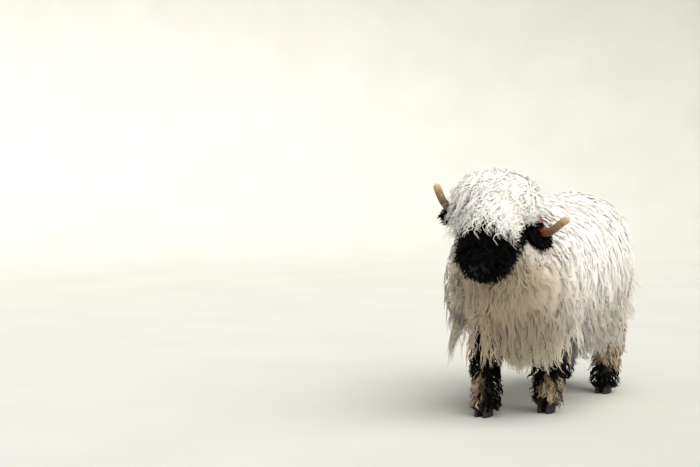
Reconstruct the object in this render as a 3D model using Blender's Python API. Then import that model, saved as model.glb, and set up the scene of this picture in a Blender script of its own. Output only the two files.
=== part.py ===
"""A life-size Valais Blacknose ewe, standing with her head turned to her left.

Metres, +Z up. She faces -Y, her left side is +X, and the origin is on the ground under the middle of her
bounding box. Every fleshy piece is a Form: a loft through a few stations along a line. Her coat is made of
tapered locks, whose roots are scattered over the forms and sunk into them.
"""
import math
import random
from collections import namedtuple

import bmesh
import bpy
from mathutils import Matrix, Vector

CLEARANCE = 0.0005  # gap that two touching pieces keep
DOWN = Vector((0.0, 0.0, -1.0))
LEFT = Vector((1.0, 0.0, 0.0))
BACKWARD = Vector((0.0, 1.0, 0.0))
TO_ORIGIN = Vector((0.0, 0.0725, 0.0))  # brings the box's middle over the origin

# Driving sizes of the ewe, to the dense wool that lies under the outer locks
BARREL_HALF_WIDTH = 0.222
BACK_HEIGHT = 0.787
CHEST_Y, RUMP_Y = -0.455, 0.440
HEAD_AT = Vector((0.0125, -0.50, 0.765))  # middle of the skull
HEAD_YAW, HEAD_ROLL, HEAD_PITCH = math.radians(18), math.radians(14), math.radians(50)
HEAD_LENGTH = 0.32
EYE_RADIUS = 0.0135
EYE_AT = Vector((0.0600, -0.040, 0.014))  # in the head's own frame, on her left
HOOF_HEIGHT = 0.045
FLEECE_HEM = 0.225  # the lowest tips of the fleece
LEG_HEM = 0.014  # the lowest tips of the wool over the hooves
STEEP = 0.62  # where the surface of the body faces more upward than this, its wool is that of the back
FEET = {  # where each hoof stands
    "front_left": Vector((0.084, -0.214, 0.0)),
    "front_right": Vector((-0.084, -0.412, 0.0)),
    "hind_left": Vector((0.114, 0.303, 0.0)),
    "hind_right": Vector((-0.130, 0.400, 0.0)),
}

# A profile is, from root to tip, the share of its depth that a lock has risen and the share of its width
CLUMP = ((0.0, 0.85), (0.65, 1.0), (0.98, 0.95), (1.0, 0.60), (0.78, 0.0))
CURL = ((0.0, 0.85), (0.75, 1.0), (1.0, 0.75), (0.60, 0.0))
LONG_CURL = ((0.0, 0.85), (0.70, 1.0), (1.0, 0.95), (1.0, 0.62), (0.75, 0.0))
WAVY = ((0.0, 0.80), (0.60, 1.0), (0.92, 0.95), (1.0, 0.80), (0.97, 0.50), (0.85, 0.0))
# A section's corners, in shares of the lock's half width and half thickness
ARCHED = ((1.0, 0.0), (0.55, 0.85), (-0.55, 0.85), (-1.0, 0.0), (0.0, -0.8))
RIDGED = ((1.0, 0.0), (0.0, 1.0), (-1.0, 0.0), (0.0, -0.8))

# Width and thickness are half sizes, and spacing is the least room between two roots
Coat = namedtuple("Coat", "spacing length depth width thickness sink wave sag profile section")
BACK_COAT = Coat(0.105, 0.150, 0.036, 0.063, 0.021, 0.030, 0.006, 0.0, CLUMP, ARCHED)
FLANK_COAT = Coat(0.105, 0.195, 0.046, 0.053, 0.019, 0.030, 0.010, 0.0, WAVY, RIDGED)
MOP_COAT = Coat(0.064, 0.115, 0.048, 0.037, 0.015, 0.020, 0.008, 0.0, LONG_CURL, RIDGED)
FRINGE_COAT = Coat(0.064, 0.215, 0.045, 0.034, 0.015, 0.020, 0.010, 0.0, WAVY, RIDGED)
FACE_COAT = Coat(0.056, 0.070, 0.040, 0.036, 0.017, 0.012, 0.0, 0.3, CURL, RIDGED)
LEG_COAT = Coat(0.072, 0.090, 0.022, 0.037, 0.014, 0.012, 0.004, 0.0, CURL, RIDGED)
TAIL_COAT = Coat(0.062, 0.095, 0.018, 0.034, 0.014, 0.010, 0.005, 0.0, CURL, RIDGED)

WHITE, BLACK, TAN, HORN, HOOF, EYE = range(6)
FINISHES = (  # name, base colour, roughness
    ("cream_fleece", (0.80, 0.74, 0.62), 0.95),
    ("black_wool", (0.018, 0.016, 0.015), 0.90),
    ("tan_wool", (0.46, 0.30, 0.20), 0.95),
    ("ridged_horn", (0.42, 0.26, 0.17), 0.50),
    ("hoof_horn", (0.05, 0.04, 0.035), 0.60),
    ("wet_eye", (0.06, 0.03, 0.012), 0.10),
)

TURN = Matrix.Rotation(HEAD_YAW, 4, "Z") @ Matrix.Rotation(HEAD_ROLL, 4, "Y")
POLL_FRAME = Matrix.Translation(HEAD_AT + TO_ORIGIN) @ TURN  # the head's yaw and roll, not its pitch
HEAD_FRAME = POLL_FRAME @ Matrix.Rotation(HEAD_PITCH, 4, "X")
BODY_FRAME = Matrix.Translation(TO_ORIGIN)
FACING = TURN.to_3x3() @ -BACKWARD


def spline(stations, u):
    """The station at u, from 0 to 1, on a smooth curve through all of them."""
    place = min(max(u, 0.0), 1.0) * (len(stations) - 1)
    i = min(int(place), len(stations) - 2)
    t = place - i
    rows = [stations[min(max(i + k, 0), len(stations) - 1)] for k in (-1, 0, 1, 2)]
    return [
        0.5 * (2 * b + (c - a) * t + (2 * a - 5 * b + 4 * c - d) * t * t + (3 * b - a - 3 * c + d) * t**3)
        for a, b, c, d in zip(*rows)
    ]


SLICES = 24  # slices of a form that are kept for tests of place


class Form:
    """A loft through stations (x, y, z, half width, half height, pear); pear above 0 widens its upper half."""

    def __init__(self, stations, side=LEFT, frame=BODY_FRAME):
        self.stations, self.side, self.frame = stations, side, frame
        turn = frame.to_3x3()
        rows = [self.axes(i / SLICES) for i in range(SLICES + 1)]
        strides = [(b[0] - a[0]).length for a, b in zip(rows, rows[1:])]
        self.reached = [sum(strides[:i]) for i in range(SLICES + 1)]
        self.slices = [
            (frame @ row[0], turn @ row[1], turn @ row[2], row[3], row[4], max(before, after) / 2)
            for row, before, after in zip(rows, [0.0] + strides, strides + [0.0])
        ]

    def axes(self, u):
        """Centre, width axis, height axis, the two half sizes and the pear share at u."""
        x, y, z, wide, high, pear = spline(self.stations, u)
        step = 0.01
        behind, ahead = (Vector(spline(self.stations, u + d)[:3]) for d in (-step, step))
        along = (ahead - behind).normalized()
        across = (self.side - self.side.dot(along) * along).normalized()
        return Vector((x, y, z)), across, across.cross(along), wide, high, pear

    def point(self, u, angle, grow=0.0):
        centre, across, upward, wide, high, pear = self.axes(u)
        sine, cosine = math.sin(angle), math.cos(angle)
        local = centre + across * (wide * (1 + pear * sine) + grow) * cosine + upward * (high + grow) * sine
        return self.frame @ local

    def normal(self, u, angle):
        step = 0.02
        along = self.point(min(u + step, 1), angle) - self.point(max(u - step, 0), angle)
        around = self.point(u, angle + step) - self.point(u, angle - step)
        out = along.cross(around).normalized()
        return out if out.dot(self.point(u, angle) - self.frame @ self.axes(u)[0]) > 0 else -out

    def at_length(self, share):
        """The u at a share of the form's length."""
        want = share * self.reached[-1]
        i = next((k for k in range(1, SLICES) if self.reached[k] >= want), SLICES)
        return (i - 1 + (want - self.reached[i - 1]) / (self.reached[i] - self.reached[i - 1])) / SLICES

    def holds(self, point, margin):
        """Whether a point is inside the form when that has grown by margin."""
        for centre, across, upward, wide, high, reach in self.slices:
            away = point - centre
            if abs(away.dot(across.cross(upward))) > reach + margin:
                continue
            if math.hypot(away.dot(across) / (wide + margin), away.dot(upward) / (high + margin)) < 1:
                return True
        return False

    def walk(self, u, angle, step):
        """The u and angle that one small step over the surface leads to."""
        low, high, turn = max(u - 0.01, 0), min(u + 0.01, 1), 0.01
        per_u = (self.point(high, angle) - self.point(low, angle)) / (high - low)
        per_turn = (self.point(u, angle + turn) - self.point(u, angle - turn)) / (2 * turn)
        a, b, c = per_u.dot(per_u), per_u.dot(per_turn), per_turn.dot(per_turn)
        d, e, area = per_u.dot(step), per_turn.dot(step), a * c - b * b
        if area < 1e-8:
            return u, angle
        return min(max(u + (d * c - e * b) / area, 0), 1), angle + (a * e - b * d) / area

    def mesh(self, name, rings, sides, grow=0.0):
        """The closed loft as an object, with its walls and ends moved out by grow."""
        bm = bmesh.new()
        loops = []
        for i in range(rings):
            u = i / (rings - 1)
            outward = (i == rings - 1) - (i == 0)
            tangent = self.frame.to_3x3() @ self.axes(u)[1].cross(self.axes(u)[2])
            shift = -tangent * grow * outward
            loops.append(
                [bm.verts.new(self.point(u, math.tau * k / sides, grow) + shift) for k in range(sides)]
            )
        return closed_loft(name, bm, loops)


def closed_loft(name, bm, loops):
    """Joins rings of vertices, in order, into one closed surface. A last ring of one vertex is a point."""
    for low, high in zip(loops, loops[1:]):
        for k in range(len(low)):
            n = (k + 1) % len(low)
            corners = (low[k], low[n], high[0]) if len(high) == 1 else (low[k], low[n], high[n], high[k])
            bm.faces.new(corners)
    bm.faces.new(loops[0])
    if len(loops[-1]) > 1:
        bm.faces.new(loops[-1])
    bmesh.ops.recalc_face_normals(bm, faces=bm.faces)
    bmesh.ops.triangulate(bm, faces=bm.faces, quad_method="FIXED")
    return to_object(name, bm)


def to_object(name, bm):
    mesh = bpy.data.meshes.new(name)
    bm.to_mesh(mesh)
    bm.free()
    obj = bpy.data.objects.new(name, mesh)
    bpy.context.scene.collection.objects.link(obj)
    return obj


def boolean(target, others, operation):
    """Applies one Boolean of a collection of closed meshes to target, and removes the others."""
    group = bpy.data.collections.new("pieces")
    for obj in others:
        group.objects.link(obj)
    modifier = target.modifiers.new("join", "BOOLEAN")
    modifier.operation, modifier.operand_type, modifier.solver = operation, "COLLECTION", "MANIFOLD"
    modifier.collection, modifier.material_mode = group, "TRANSFER"
    graph = bpy.context.evaluated_depsgraph_get()
    joined = bpy.data.meshes.new_from_object(target.evaluated_get(graph))
    target.modifiers.clear()
    target.data = joined
    for obj in others:
        bpy.data.objects.remove(obj)
    bpy.data.collections.remove(group)
    keep_largest(target)
    return target


def keep_largest(obj):
    """Keeps the closed surface that has the most vertices."""
    bm = bmesh.new()
    bm.from_mesh(obj.data)
    unseen, best = set(bm.verts), []
    while unseen:
        start = unseen.pop()
        island, edge_of = [start], [start]
        while edge_of:
            vert = edge_of.pop()
            for edge in vert.link_edges:
                other = edge.other_vert(vert)
                if other in unseen:
                    unseen.remove(other)
                    island.append(other)
                    edge_of.append(other)
        best = max(best, island, key=len)
    kept = set(best)
    bmesh.ops.delete(bm, geom=[v for v in bm.verts if v not in kept], context="VERTS")
    bm.to_mesh(obj.data)
    bm.free()


def tube(name, path, radii, flatness=1.0, sides=5, grow=0.0):
    """A closed tube along a short path, thinner across it than flatness says, such as a lid or a lip."""
    bm = bmesh.new()
    loops = []
    middle = sum(path, Vector()) / len(path)
    for i, (centre, radius) in enumerate(zip(path, radii)):
        along = (path[min(i + 1, len(path) - 1)] - path[max(i - 1, 0)]).normalized()
        across = along.cross(centre - middle).normalized()
        through = along.cross(across)
        loops.append(
            [
                bm.verts.new(
                    centre
                    + across * (radius * flatness + grow) * math.cos(math.tau * k / sides)
                    + through * (radius + grow) * math.sin(math.tau * k / sides)
                )
                for k in range(sides)
            ]
        )
    return closed_loft(name, bm, loops)


# The fleshy forms, at the height of the dense wool that lies under the outer locks
MID = BACK_HEIGHT - 0.231  # height of the barrel's axis
TORSO = Form(
    [
        (0, CHEST_Y, MID + 0.005, 0.055, 0.055, 0.0),
        (0, CHEST_Y + 0.012, MID + 0.004, 0.136, 0.132, 0.0),
        (0, -0.405, MID + 0.000, 0.198, 0.198, -0.06),
        (0, -0.320, MID + 0.000, 0.219, 0.224, -0.09),
        (0, -0.200, MID + 0.000, 0.222, 0.230, -0.12),
        (0, -0.040, MID - 0.001, BARREL_HALF_WIDTH, 0.231, -0.13),
        (0, 0.120, MID + 0.000, BARREL_HALF_WIDTH, 0.231, -0.12),
        (0, 0.270, MID + 0.010, 0.214, 0.217, -0.09),
        (0, 0.370, MID + 0.025, 0.182, 0.190, -0.05),
        (0, 0.420, MID + 0.035, 0.125, 0.140, 0.0),
        (0, RUMP_Y, MID + 0.040, 0.045, 0.050, 0.0),
    ]
)
NECK = Form(
    [
        (0.000, -0.270, 0.630, 0.145, 0.150, 0.0),
        (0.002, -0.350, 0.640, 0.152, 0.160, 0.0),
        (0.006, -0.415, 0.665, 0.136, 0.142, 0.0),
        (0.014, -0.455, 0.695, 0.102, 0.110, 0.0),
        (0.018, -0.475, 0.705, 0.045, 0.055, 0.0),
    ]
)
NECK_CUT_AT, NECK_CUT_TILT = Vector((0, -0.330, 0.640)), math.radians(-30)  # parts the neck from the torso
HEAD = Form(
    [
        (0, 0.075, 0.006, 0.034, 0.034, 0.0),
        (0, 0.055, 0.002, 0.058, 0.058, 0.0),
        (0, 0.015, -0.006, 0.069, 0.072, 0.05),
        (0, -0.035, -0.016, 0.073, 0.078, 0.10),
        (0, -0.090, -0.025, 0.063, 0.069, 0.06),
        (0, -0.140, -0.031, 0.055, 0.057, 0.0),
        (0, -0.185, -0.036, 0.051, 0.049, -0.05),
        (0, -0.218, -0.041, 0.047, 0.043, -0.05),
        (0, -0.237, -0.045, 0.036, 0.034, 0.0),
        (0, 0.075 - HEAD_LENGTH, -0.048, 0.018, 0.019, 0.0),
    ],
    frame=HEAD_FRAME,
)
MOP = Form(  # the dense wool of the crown, from her right to her left
    [
        (-0.122, 0.030, 0.036, 0.030, 0.030, 0.0),
        (-0.104, 0.030, 0.042, 0.062, 0.055, 0.0),
        (-0.055, 0.030, 0.048, 0.086, 0.076, 0.0),
        (0.000, 0.030, 0.052, 0.094, 0.084, 0.0),
        (0.055, 0.030, 0.048, 0.086, 0.076, 0.0),
        (0.104, 0.030, 0.042, 0.062, 0.055, 0.0),
        (0.122, 0.030, 0.036, 0.030, 0.030, 0.0),
    ],
    side=BACKWARD,
    frame=POLL_FRAME,
)
TAIL = Form(
    [
        (0, 0.380, 0.700, 0.026, 0.026, 0.0),
        (0, 0.446, 0.680, 0.030, 0.030, 0.0),
        (0, 0.480, 0.600, 0.033, 0.028, 0.0),
        (0, 0.486, 0.480, 0.033, 0.026, 0.0),
        (0, 0.484, 0.390, 0.024, 0.020, 0.0),
        (0, 0.482, 0.340, 0.010, 0.009, 0.0),
    ]
)


def front_leg(foot):
    """From inside the chest, past elbow, knee and fetlock, to the top of the hoof."""
    side = math.copysign(1, foot.x)
    elbow = Vector((0.105 * side, -0.250, 0.430))
    knee = Vector((0.096 * side, (elbow.y + 1.6 * foot.y) / 2.6 - 0.012, 0.265))
    return Form(
        [
            (*elbow, 0.062, 0.075, 0.0),
            (*elbow.lerp(knee, 0.55), 0.056, 0.062, 0.0),
            (*knee, 0.049, 0.051, 0.0),
            (*knee.lerp(foot, 0.45), 0.041, 0.042, 0.0),
            (foot.x, foot.y + 0.014, 0.098, 0.043, 0.045, 0.0),
            (foot.x, foot.y + 0.006, HOOF_HEIGHT * 0.8, 0.038, 0.042, 0.0),
        ]
    )


def hind_leg(foot):
    """From inside the rump, past stifle, hock and fetlock, to the top of the hoof."""
    side = math.copysign(1, foot.x)
    hock = Vector((foot.x, foot.y + 0.085, 0.265))
    stifle = Vector((0.108 * side, foot.y * 0.5 + 0.105, 0.430))
    return Form(
        [
            (*stifle, 0.056, 0.085, 0.0),
            (*stifle.lerp(hock, 0.55), 0.055, 0.072, 0.0),
            (*hock, 0.046, 0.052, 0.0),
            (*hock.lerp(foot, 0.42), 0.042, 0.044, 0.0),
            (foot.x, foot.y + 0.020, 0.098, 0.043, 0.045, 0.0),
            (foot.x, foot.y + 0.006, HOOF_HEIGHT * 0.8, 0.038, 0.042, 0.0),
        ]
    )


LEGS = {name: (front_leg if name.startswith("front") else hind_leg)(foot) for name, foot in FEET.items()}


def horn(side):
    """A corkscrew horn: out of the poll, back, down and forward again, with its tip turned up and out."""
    coil_radius, coil_centre = 0.056, Vector((0.0, 0.030, 0.030))
    first, last = math.radians(-25), math.radians(305)
    stations = []
    count = 9
    for i in range(count):
        t = i / (count - 1)
        turn = first + (last - first) * t
        radius = coil_radius * (1 - 0.18 * t)
        out = 0.052 + 0.200 * t
        y = coil_centre.y + radius * math.sin(turn)
        z = coil_centre.z + radius * math.cos(turn)
        girth = (0.0240 * (1 - t) + 0.0130 * t) * (0.6 if i == count - 1 else 1)
        stations.append((out * side, y, z, girth, girth * 0.8, 0.0))
    return Form(stations, side=Vector((0, 0.3, 1)), frame=POLL_FRAME)


def ear(side):
    """The axis, half width and thickness of a broad, soft ear that droops outwards."""
    return Form(
        [
            (0.060 * side, 0.030, 0.000, 0.018, 0.016, 0.0),
            (0.088 * side, 0.034, -0.006, 0.028, 0.014, 0.0),
            (0.122 * side, 0.036, -0.018, 0.036, 0.012, 0.0),
            (0.156 * side, 0.032, -0.036, 0.036, 0.010, 0.0),
            (0.184 * side, 0.024, -0.055, 0.027, 0.008, 0.0),
            (0.200 * side, 0.018, -0.066, 0.012, 0.005, 0.0),
        ],
        side=Vector((0, 0.35, 1)),
        frame=POLL_FRAME,
    )


def cupped_ear(name, side, grow=0.0):
    """The ear as a shell: its back is round and its front is a hollow cup."""
    form = ear(side)
    rings, back = 9, (-80, -40, 0, 40, 80)
    bm = bmesh.new()
    loops = []
    for i in range(rings):
        u = i / (rings - 1)
        centre, across, upward, wide, thick, _ = form.axes(u)
        behind = upward if (form.frame.to_3x3() @ upward).dot(FACING) < 0 else -upward
        cup = wide * 0.62 * math.sin(math.pi * min(u + 0.12, 1)) ** 0.5 if u < 1 else 0
        end = form.frame.to_3x3() @ across.cross(upward) * -grow * ((i == rings - 1) - (i == 0))
        ring = []
        for degrees in back:
            a = math.radians(degrees)
            ring.append(centre + across * (wide + grow) * math.sin(a) + behind * (cup + grow) * math.cos(a))
        for degrees in reversed(back):
            a = math.radians(degrees)
            depth = cup * math.cos(a) - thick * (0.5 + 0.5 * math.cos(a)) - grow
            ring.append(centre + across * (wide * 0.94 + grow) * math.sin(a) + behind * depth)
        loops.append([bm.verts.new(form.frame @ v + end) for v in ring])
    return closed_loft(name, bm, loops)


HORNS = {side: horn(side) for side in (1, -1)}
EARS = {side: ear(side) for side in (1, -1)}


def lie(out, pull):
    """The way a lock lies: along pull or, where that would run into the form, over its surface."""
    return (pull - out * min(0.0, pull.dot(out))).normalized()


def scatter(form, spacing, seed, span=(0.0, 1.0)):
    """Places (u, angle) spread over a form, none nearer to another than the spacing."""
    draw, places, roots, throws = random.Random(seed), [], [], 4000
    for _ in range(throws):
        u, angle = form.at_length(draw.uniform(*span)), draw.uniform(0, math.tau)
        root = form.point(u, angle)
        if all((root - other).length > spacing for other in roots):
            roots.append(root)
            places.append((u, angle))
    return places


def lock_path(form, u, angle, pull, coat, hem, draw):
    """The middle line of a lock, from its sunk root over the form and then free to its tip, and its side."""
    here, outward = form.point(u, angle), form.normal(u, angle)
    along = lie(outward, pull)
    side = along.cross(outward).normalized()
    turn = draw.uniform(-0.22, 0.22)
    length, depth = coat.length * draw.uniform(0.85, 1.15), coat.depth * draw.uniform(0.8, 1.15)
    swing = draw.choice((-1, 1)) * coat.wave
    if along.z < -0.2:
        length = min(length, max((here.z + outward.z * depth - hem) / -along.z, 0.04))
    steps = len(coat.profile) - 1
    path = []
    for i, (rise, _) in enumerate(coat.profile):
        sag = DOWN * coat.sag * length * (i / steps) ** 2
        path.append(here + outward * ((depth + coat.sink) * rise - coat.sink) + sag + side * swing * (-1) ** i)
        step = (along + side * turn) * length / steps
        if pull.dot(outward) < 0:
            u, angle = form.walk(u, angle, step)
            here, outward = form.point(u, angle), form.normal(u, angle)
            along = lie(outward, pull)
        else:
            here = here + step
    return path, side


def lock(name, path, side, coat, grow):
    """One flat, tapered lock along its path, fused later by its sunk root."""
    bm = bmesh.new()
    loops = []
    for i, (_, share) in enumerate(coat.profile[:-1]):
        along = (path[i + 1] - path[max(i - 1, 0)]).normalized()
        across = (side - along * side.dot(along)).normalized()
        through = across.cross(along)
        wide, thick = coat.width * share + grow, coat.thickness * share + grow
        loops.append([bm.verts.new(path[i] + across * wide * x + through * thick * y) for x, y in coat.section])
    tip = path[-1] + (path[-1] - path[-2]).normalized() * grow * 3
    loops.append([bm.verts.new(tip)])
    return closed_loft(name, bm, loops)


def locks(name, form, coat_at, pull_at, seed, grow, hem=0.0, span=(0.0, 1.0), clear_of=()):
    """The locks of one form, each of the coat that coat_at gives for its root, or none where that gives None.
    A lock that would run into what it must stay clear of is left out."""
    draw = random.Random(seed + 1)
    made = []
    for u, angle in scatter(form, coat_at(None, LEFT).spacing, seed, span):
        root, out = form.point(u, angle), form.normal(u, angle)
        coat = coat_at(root, out)
        if coat is None:
            continue
        path, side = lock_path(form, u, angle, pull_at(root, out), coat, hem, draw)
        if not any(other.holds(p, margin) for other, margin in clear_of for p in path[2:]):
            made.append(lock(name, path, side, coat, grow))
    return made


def eye_ball(name, side, grow=0.0):
    bm = bmesh.new()
    at = HEAD_FRAME @ Vector((EYE_AT.x * side, EYE_AT.y, EYE_AT.z))
    bmesh.ops.create_uvsphere(
        bm, u_segments=10, v_segments=7, radius=EYE_RADIUS + grow, matrix=Matrix.Translation(at)
    )
    return to_object(name, bm)


def lids(name, side, grow):
    """The upper and the lower lid of one eye, two thick rims that wrap the ball."""
    at = Vector((EYE_AT.x * side, EYE_AT.y, EYE_AT.z))
    outward = Vector((side, -0.25, 0.12)).normalized()
    forward = (-BACKWARD - outward * outward.dot(-BACKWARD)).normalized()
    upward = forward.cross(outward) * side
    upward = upward if upward.z > 0 else -upward
    made, steps = [], 5
    for height, thick in ((0.62, 0.0050), (-0.50, 0.0040)):
        path = []
        for i in range(steps + 1):
            t = math.pi * i / steps
            way = forward * math.cos(t) + upward * math.sin(t) * height + outward * 0.55
            path.append(HEAD_FRAME @ (at + way.normalized() * (EYE_RADIUS + 0.0015)))
        radii = [thick * (0.55 + 0.45 * math.sin(math.pi * i / steps)) for i in range(steps + 1)]
        made.append(tube(name, path, radii, 0.8, 4, grow))
    return made


MOUTH_Z, MOUTH_BACK, MOUTH_FRONT, MOUTH_HALF = -0.0620, -0.180, -0.2385, 0.0420


MOUTH_STEPS = 8


def mouth_path(height, inset=0.0):
    """Along the lips, from one corner of the mouth round the muzzle to the other."""
    path = []
    for i in range(MOUTH_STEPS + 1):
        turn = math.pi * (i / MOUTH_STEPS - 0.5)
        x = (MOUTH_HALF - inset) * math.sin(turn)
        y = MOUTH_BACK - (MOUTH_BACK - MOUTH_FRONT - inset) * math.cos(turn) ** 0.8
        path.append(HEAD_FRAME @ Vector((x, y, MOUTH_Z + height - 0.004 * math.cos(turn))))
    return path


def nostril(name, side):
    """A slanted, comma-shaped hollow beside the tip of the nose."""
    bm = bmesh.new()
    bmesh.ops.create_uvsphere(bm, u_segments=8, v_segments=6, radius=1)
    slant = Matrix.Rotation(math.radians(38 * side), 4, "Y") @ Matrix.Rotation(math.radians(-35), 4, "X")
    place = Matrix.Translation((0.0185 * side, -0.2365, -0.031))
    bmesh.ops.transform(
        bm, matrix=HEAD_FRAME @ place @ slant @ Matrix.Diagonal((0.0045, 0.010, 0.0085, 1)), verts=bm.verts
    )
    return to_object(name, bm)


def head(name, grow):
    """Skull, lids, lips and nostrils, the mop of the crown and the short curls of the face."""
    skull = HEAD.mesh(name, 19, 16, grow)
    lips = [
        tube(name, mouth_path(height, 0.0025), [0.0048] * (MOUTH_STEPS + 1), 0.9, 4, grow)
        for height in (0.0052, -0.0052)
    ]
    face = boolean(skull, lips + lids(name, 1, grow) + lids(name, -1, grow), "UNION")
    if not grow:
        mouth = tube(name, mouth_path(0.0), [0.0060] * (MOUTH_STEPS + 1), 0.18, 4)
        cutters = [mouth, nostril(name, 1), nostril(name, -1)]
        face = boolean(face, cutters, "DIFFERENCE")
    left_clear = [(HORNS[s], 0.012) for s in (1, -1)] + [(EARS[s], 0.010) for s in (1, -1)]

    def falls(_, out):
        level = Vector((out.x, out.y, 0))
        return DOWN + level * 0.35 + FACING * 0.2

    def crown_coat(root, out):
        if root is not None and HEAD.holds(root, 0.0):
            return None
        return FRINGE_COAT if out.dot(FACING) > 0.15 else MOP_COAT

    def face_coat(root, _):
        if root is None:
            return FACE_COAT
        place = HEAD_FRAME.inverted() @ root
        bare = place.y > -0.060 and place.z > -0.030 or MOP.holds(root, 0.0)
        return None if bare else FACE_COAT

    crown = locks(name, MOP, crown_coat, falls, 11, grow, clear_of=left_clear)
    curls = locks(name, HEAD, face_coat, lambda r, o: DOWN, 21, grow, span=(0.25, 0.86), clear_of=left_clear)
    wool = [MOP.mesh(name, 9, 12, grow)] + crown
    for obj, finish in [(face, BLACK)] + [(o, WHITE) for o in wool] + [(o, BLACK) for o in curls]:
        obj.data.materials.clear()
        obj.data.materials.append(bpy.data.materials[FINISHES[finish][0]])
    return boolean(face, wool + curls, "UNION")


def fleece_falls(_, out):
    """Back along the spine, and straight down on the sides and the chest."""
    if out.z > STEEP:
        return BACKWARD + DOWN * 0.35
    return DOWN + BACKWARD * 0.25 * (1 - abs(out.y))


def fleece_whole(name, grow):
    """Torso and neck in one: the dense wool, rounded clumps on the back and long wavy locks on the sides."""
    away = [(leg, 0.020) for leg in LEGS.values()] + [(TAIL, 0.030), (MOP, 0.045), (HEAD, 0.030)]

    def body_coat(out):
        return BACK_COAT if out.z > STEEP else FLANK_COAT

    def torso_coat(root, out):
        return None if root is not None and NECK.holds(root, 0.0) else body_coat(out)

    def neck_coat(root, out):
        return None if root is not None and TORSO.holds(root, 0.0) else body_coat(out)

    pieces = [NECK.mesh(name, 6, 16, grow)]
    pieces += locks(name, TORSO, torso_coat, fleece_falls, 31, grow, FLEECE_HEM, clear_of=away)
    pieces += locks(name, NECK, neck_coat, fleece_falls, 52, grow, FLEECE_HEM, span=(0.2, 1.0), clear_of=away)
    return boolean(TORSO.mesh(name, 16, 20, grow), pieces, "UNION")


def half_space(name, keep_front, gap):
    """A block that takes away all that lies before, or all that lies behind, the neck's cut."""
    reach = 2.0
    bm = bmesh.new()
    bmesh.ops.create_cube(bm, size=reach)
    way = -1 if keep_front else 1
    tilt = Matrix.Rotation(NECK_CUT_TILT, 4, "X")
    shift = Matrix.Translation((0, -way * (reach / 2 - gap), 0))
    bmesh.ops.transform(bm, matrix=BODY_FRAME @ Matrix.Translation(NECK_CUT_AT) @ tilt @ shift, verts=bm.verts)
    return to_object(name, bm)


def part_of_fleece(name, keep_front, grow):
    """The neck, before the cut, or the torso, behind it."""
    return boolean(
        fleece_whole(name, grow), [half_space(name + "_cut", keep_front, CLEARANCE / 2 - grow)], "DIFFERENCE"
    )


def tail(name, grow):
    core = TAIL.mesh(name, 8, 8, grow)
    wool = locks(name, TAIL, lambda r, o: TAIL_COAT, lambda r, o: DOWN, 61, grow, span=(0.35, 0.97))
    return boolean(core, wool, "UNION")


def leg(name, foot_name, grow):
    """One leg with its short curls, which hang over the hoof."""
    form = LEGS[foot_name]
    core = form.mesh(name, 8, 8, grow)

    def coat(root, _):
        return LEG_COAT if root is None or root.z < 0.30 else None

    wool = locks(name, form, coat, lambda r, o: DOWN, 71 + len(foot_name), grow, LEG_HEM, span=(0.4, 0.99))
    return boolean(core, wool, "UNION")


def hoof(name, foot, grow=0.0):
    """Two claws side by side on one root, flat on the ground."""
    claws = []
    for side in (-1, 1):
        at = foot + Vector((0.0165 * side, 0, 0))
        claw = Form(
            [
                (at.x, at.y - 0.004, 0.0, 0.0155, 0.036, 0.0),
                (at.x, at.y - 0.002, HOOF_HEIGHT * 0.4, 0.0155, 0.035, 0.0),
                (at.x - 0.002 * side, at.y + 0.002, HOOF_HEIGHT, 0.014, 0.028, 0.0),
            ]
        )
        sole = claw.mesh(name, 3, 8, grow)
        for vert in sole.data.vertices:
            if vert.co.z < HOOF_HEIGHT / 4:
                vert.co.z = -grow
        claws.append(sole)
    root = Form(
        [
            (foot.x, foot.y + 0.004, HOOF_HEIGHT * 0.55, 0.022, 0.026, 0.0),
            (foot.x, foot.y + 0.004, HOOF_HEIGHT * 0.80, 0.026, 0.027, 0.0),
            (foot.x, foot.y + 0.004, HOOF_HEIGHT * 1.10, 0.024, 0.025, 0.0),
        ]
    )
    claws.append(root.mesh(name, 3, 8, grow))
    return boolean(claws[0], claws[1:], "UNION")


def finish_of(name, point):
    """Which finish a node has at a point: the breed's black marks, the tan above the feet."""
    word = name.split("_")[0]
    plain = {"horn": HORN, "hoof": HOOF, "eye": EYE, "ear": BLACK, "neck": WHITE, "torso": WHITE}
    if word in plain:
        return plain[word]
    if word == "tail":
        return BLACK if point.z > 0.52 else WHITE
    if "hind" in name:
        return BLACK if point.z < 0.135 else TAN
    foot = FEET[name[len("leg_"):]] + TO_ORIGIN
    outer = (point.x - foot.x) * math.copysign(1, foot.x) > 0.012
    return TAN if 0.055 < point.z < 0.130 and outer else BLACK


def paint(obj, finishes):
    """Gives each face of a node the finish of its place. The head's pieces have theirs already."""
    if obj.name == "head":
        return
    obj.data.materials.clear()
    for finish in finishes:
        obj.data.materials.append(finish)
    for face in obj.data.polygons:
        face.material_index = finish_of(obj.name, face.center)


def new_finish(name, colour, roughness):
    made = bpy.data.materials.new(name)
    made.use_nodes = True
    shader = made.node_tree.nodes["Principled BSDF"]
    shader.inputs["Base Color"].default_value = (*colour, 1)
    shader.inputs["Roughness"].default_value = roughness
    shader.inputs["Metallic"].default_value = 0
    return made


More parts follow.
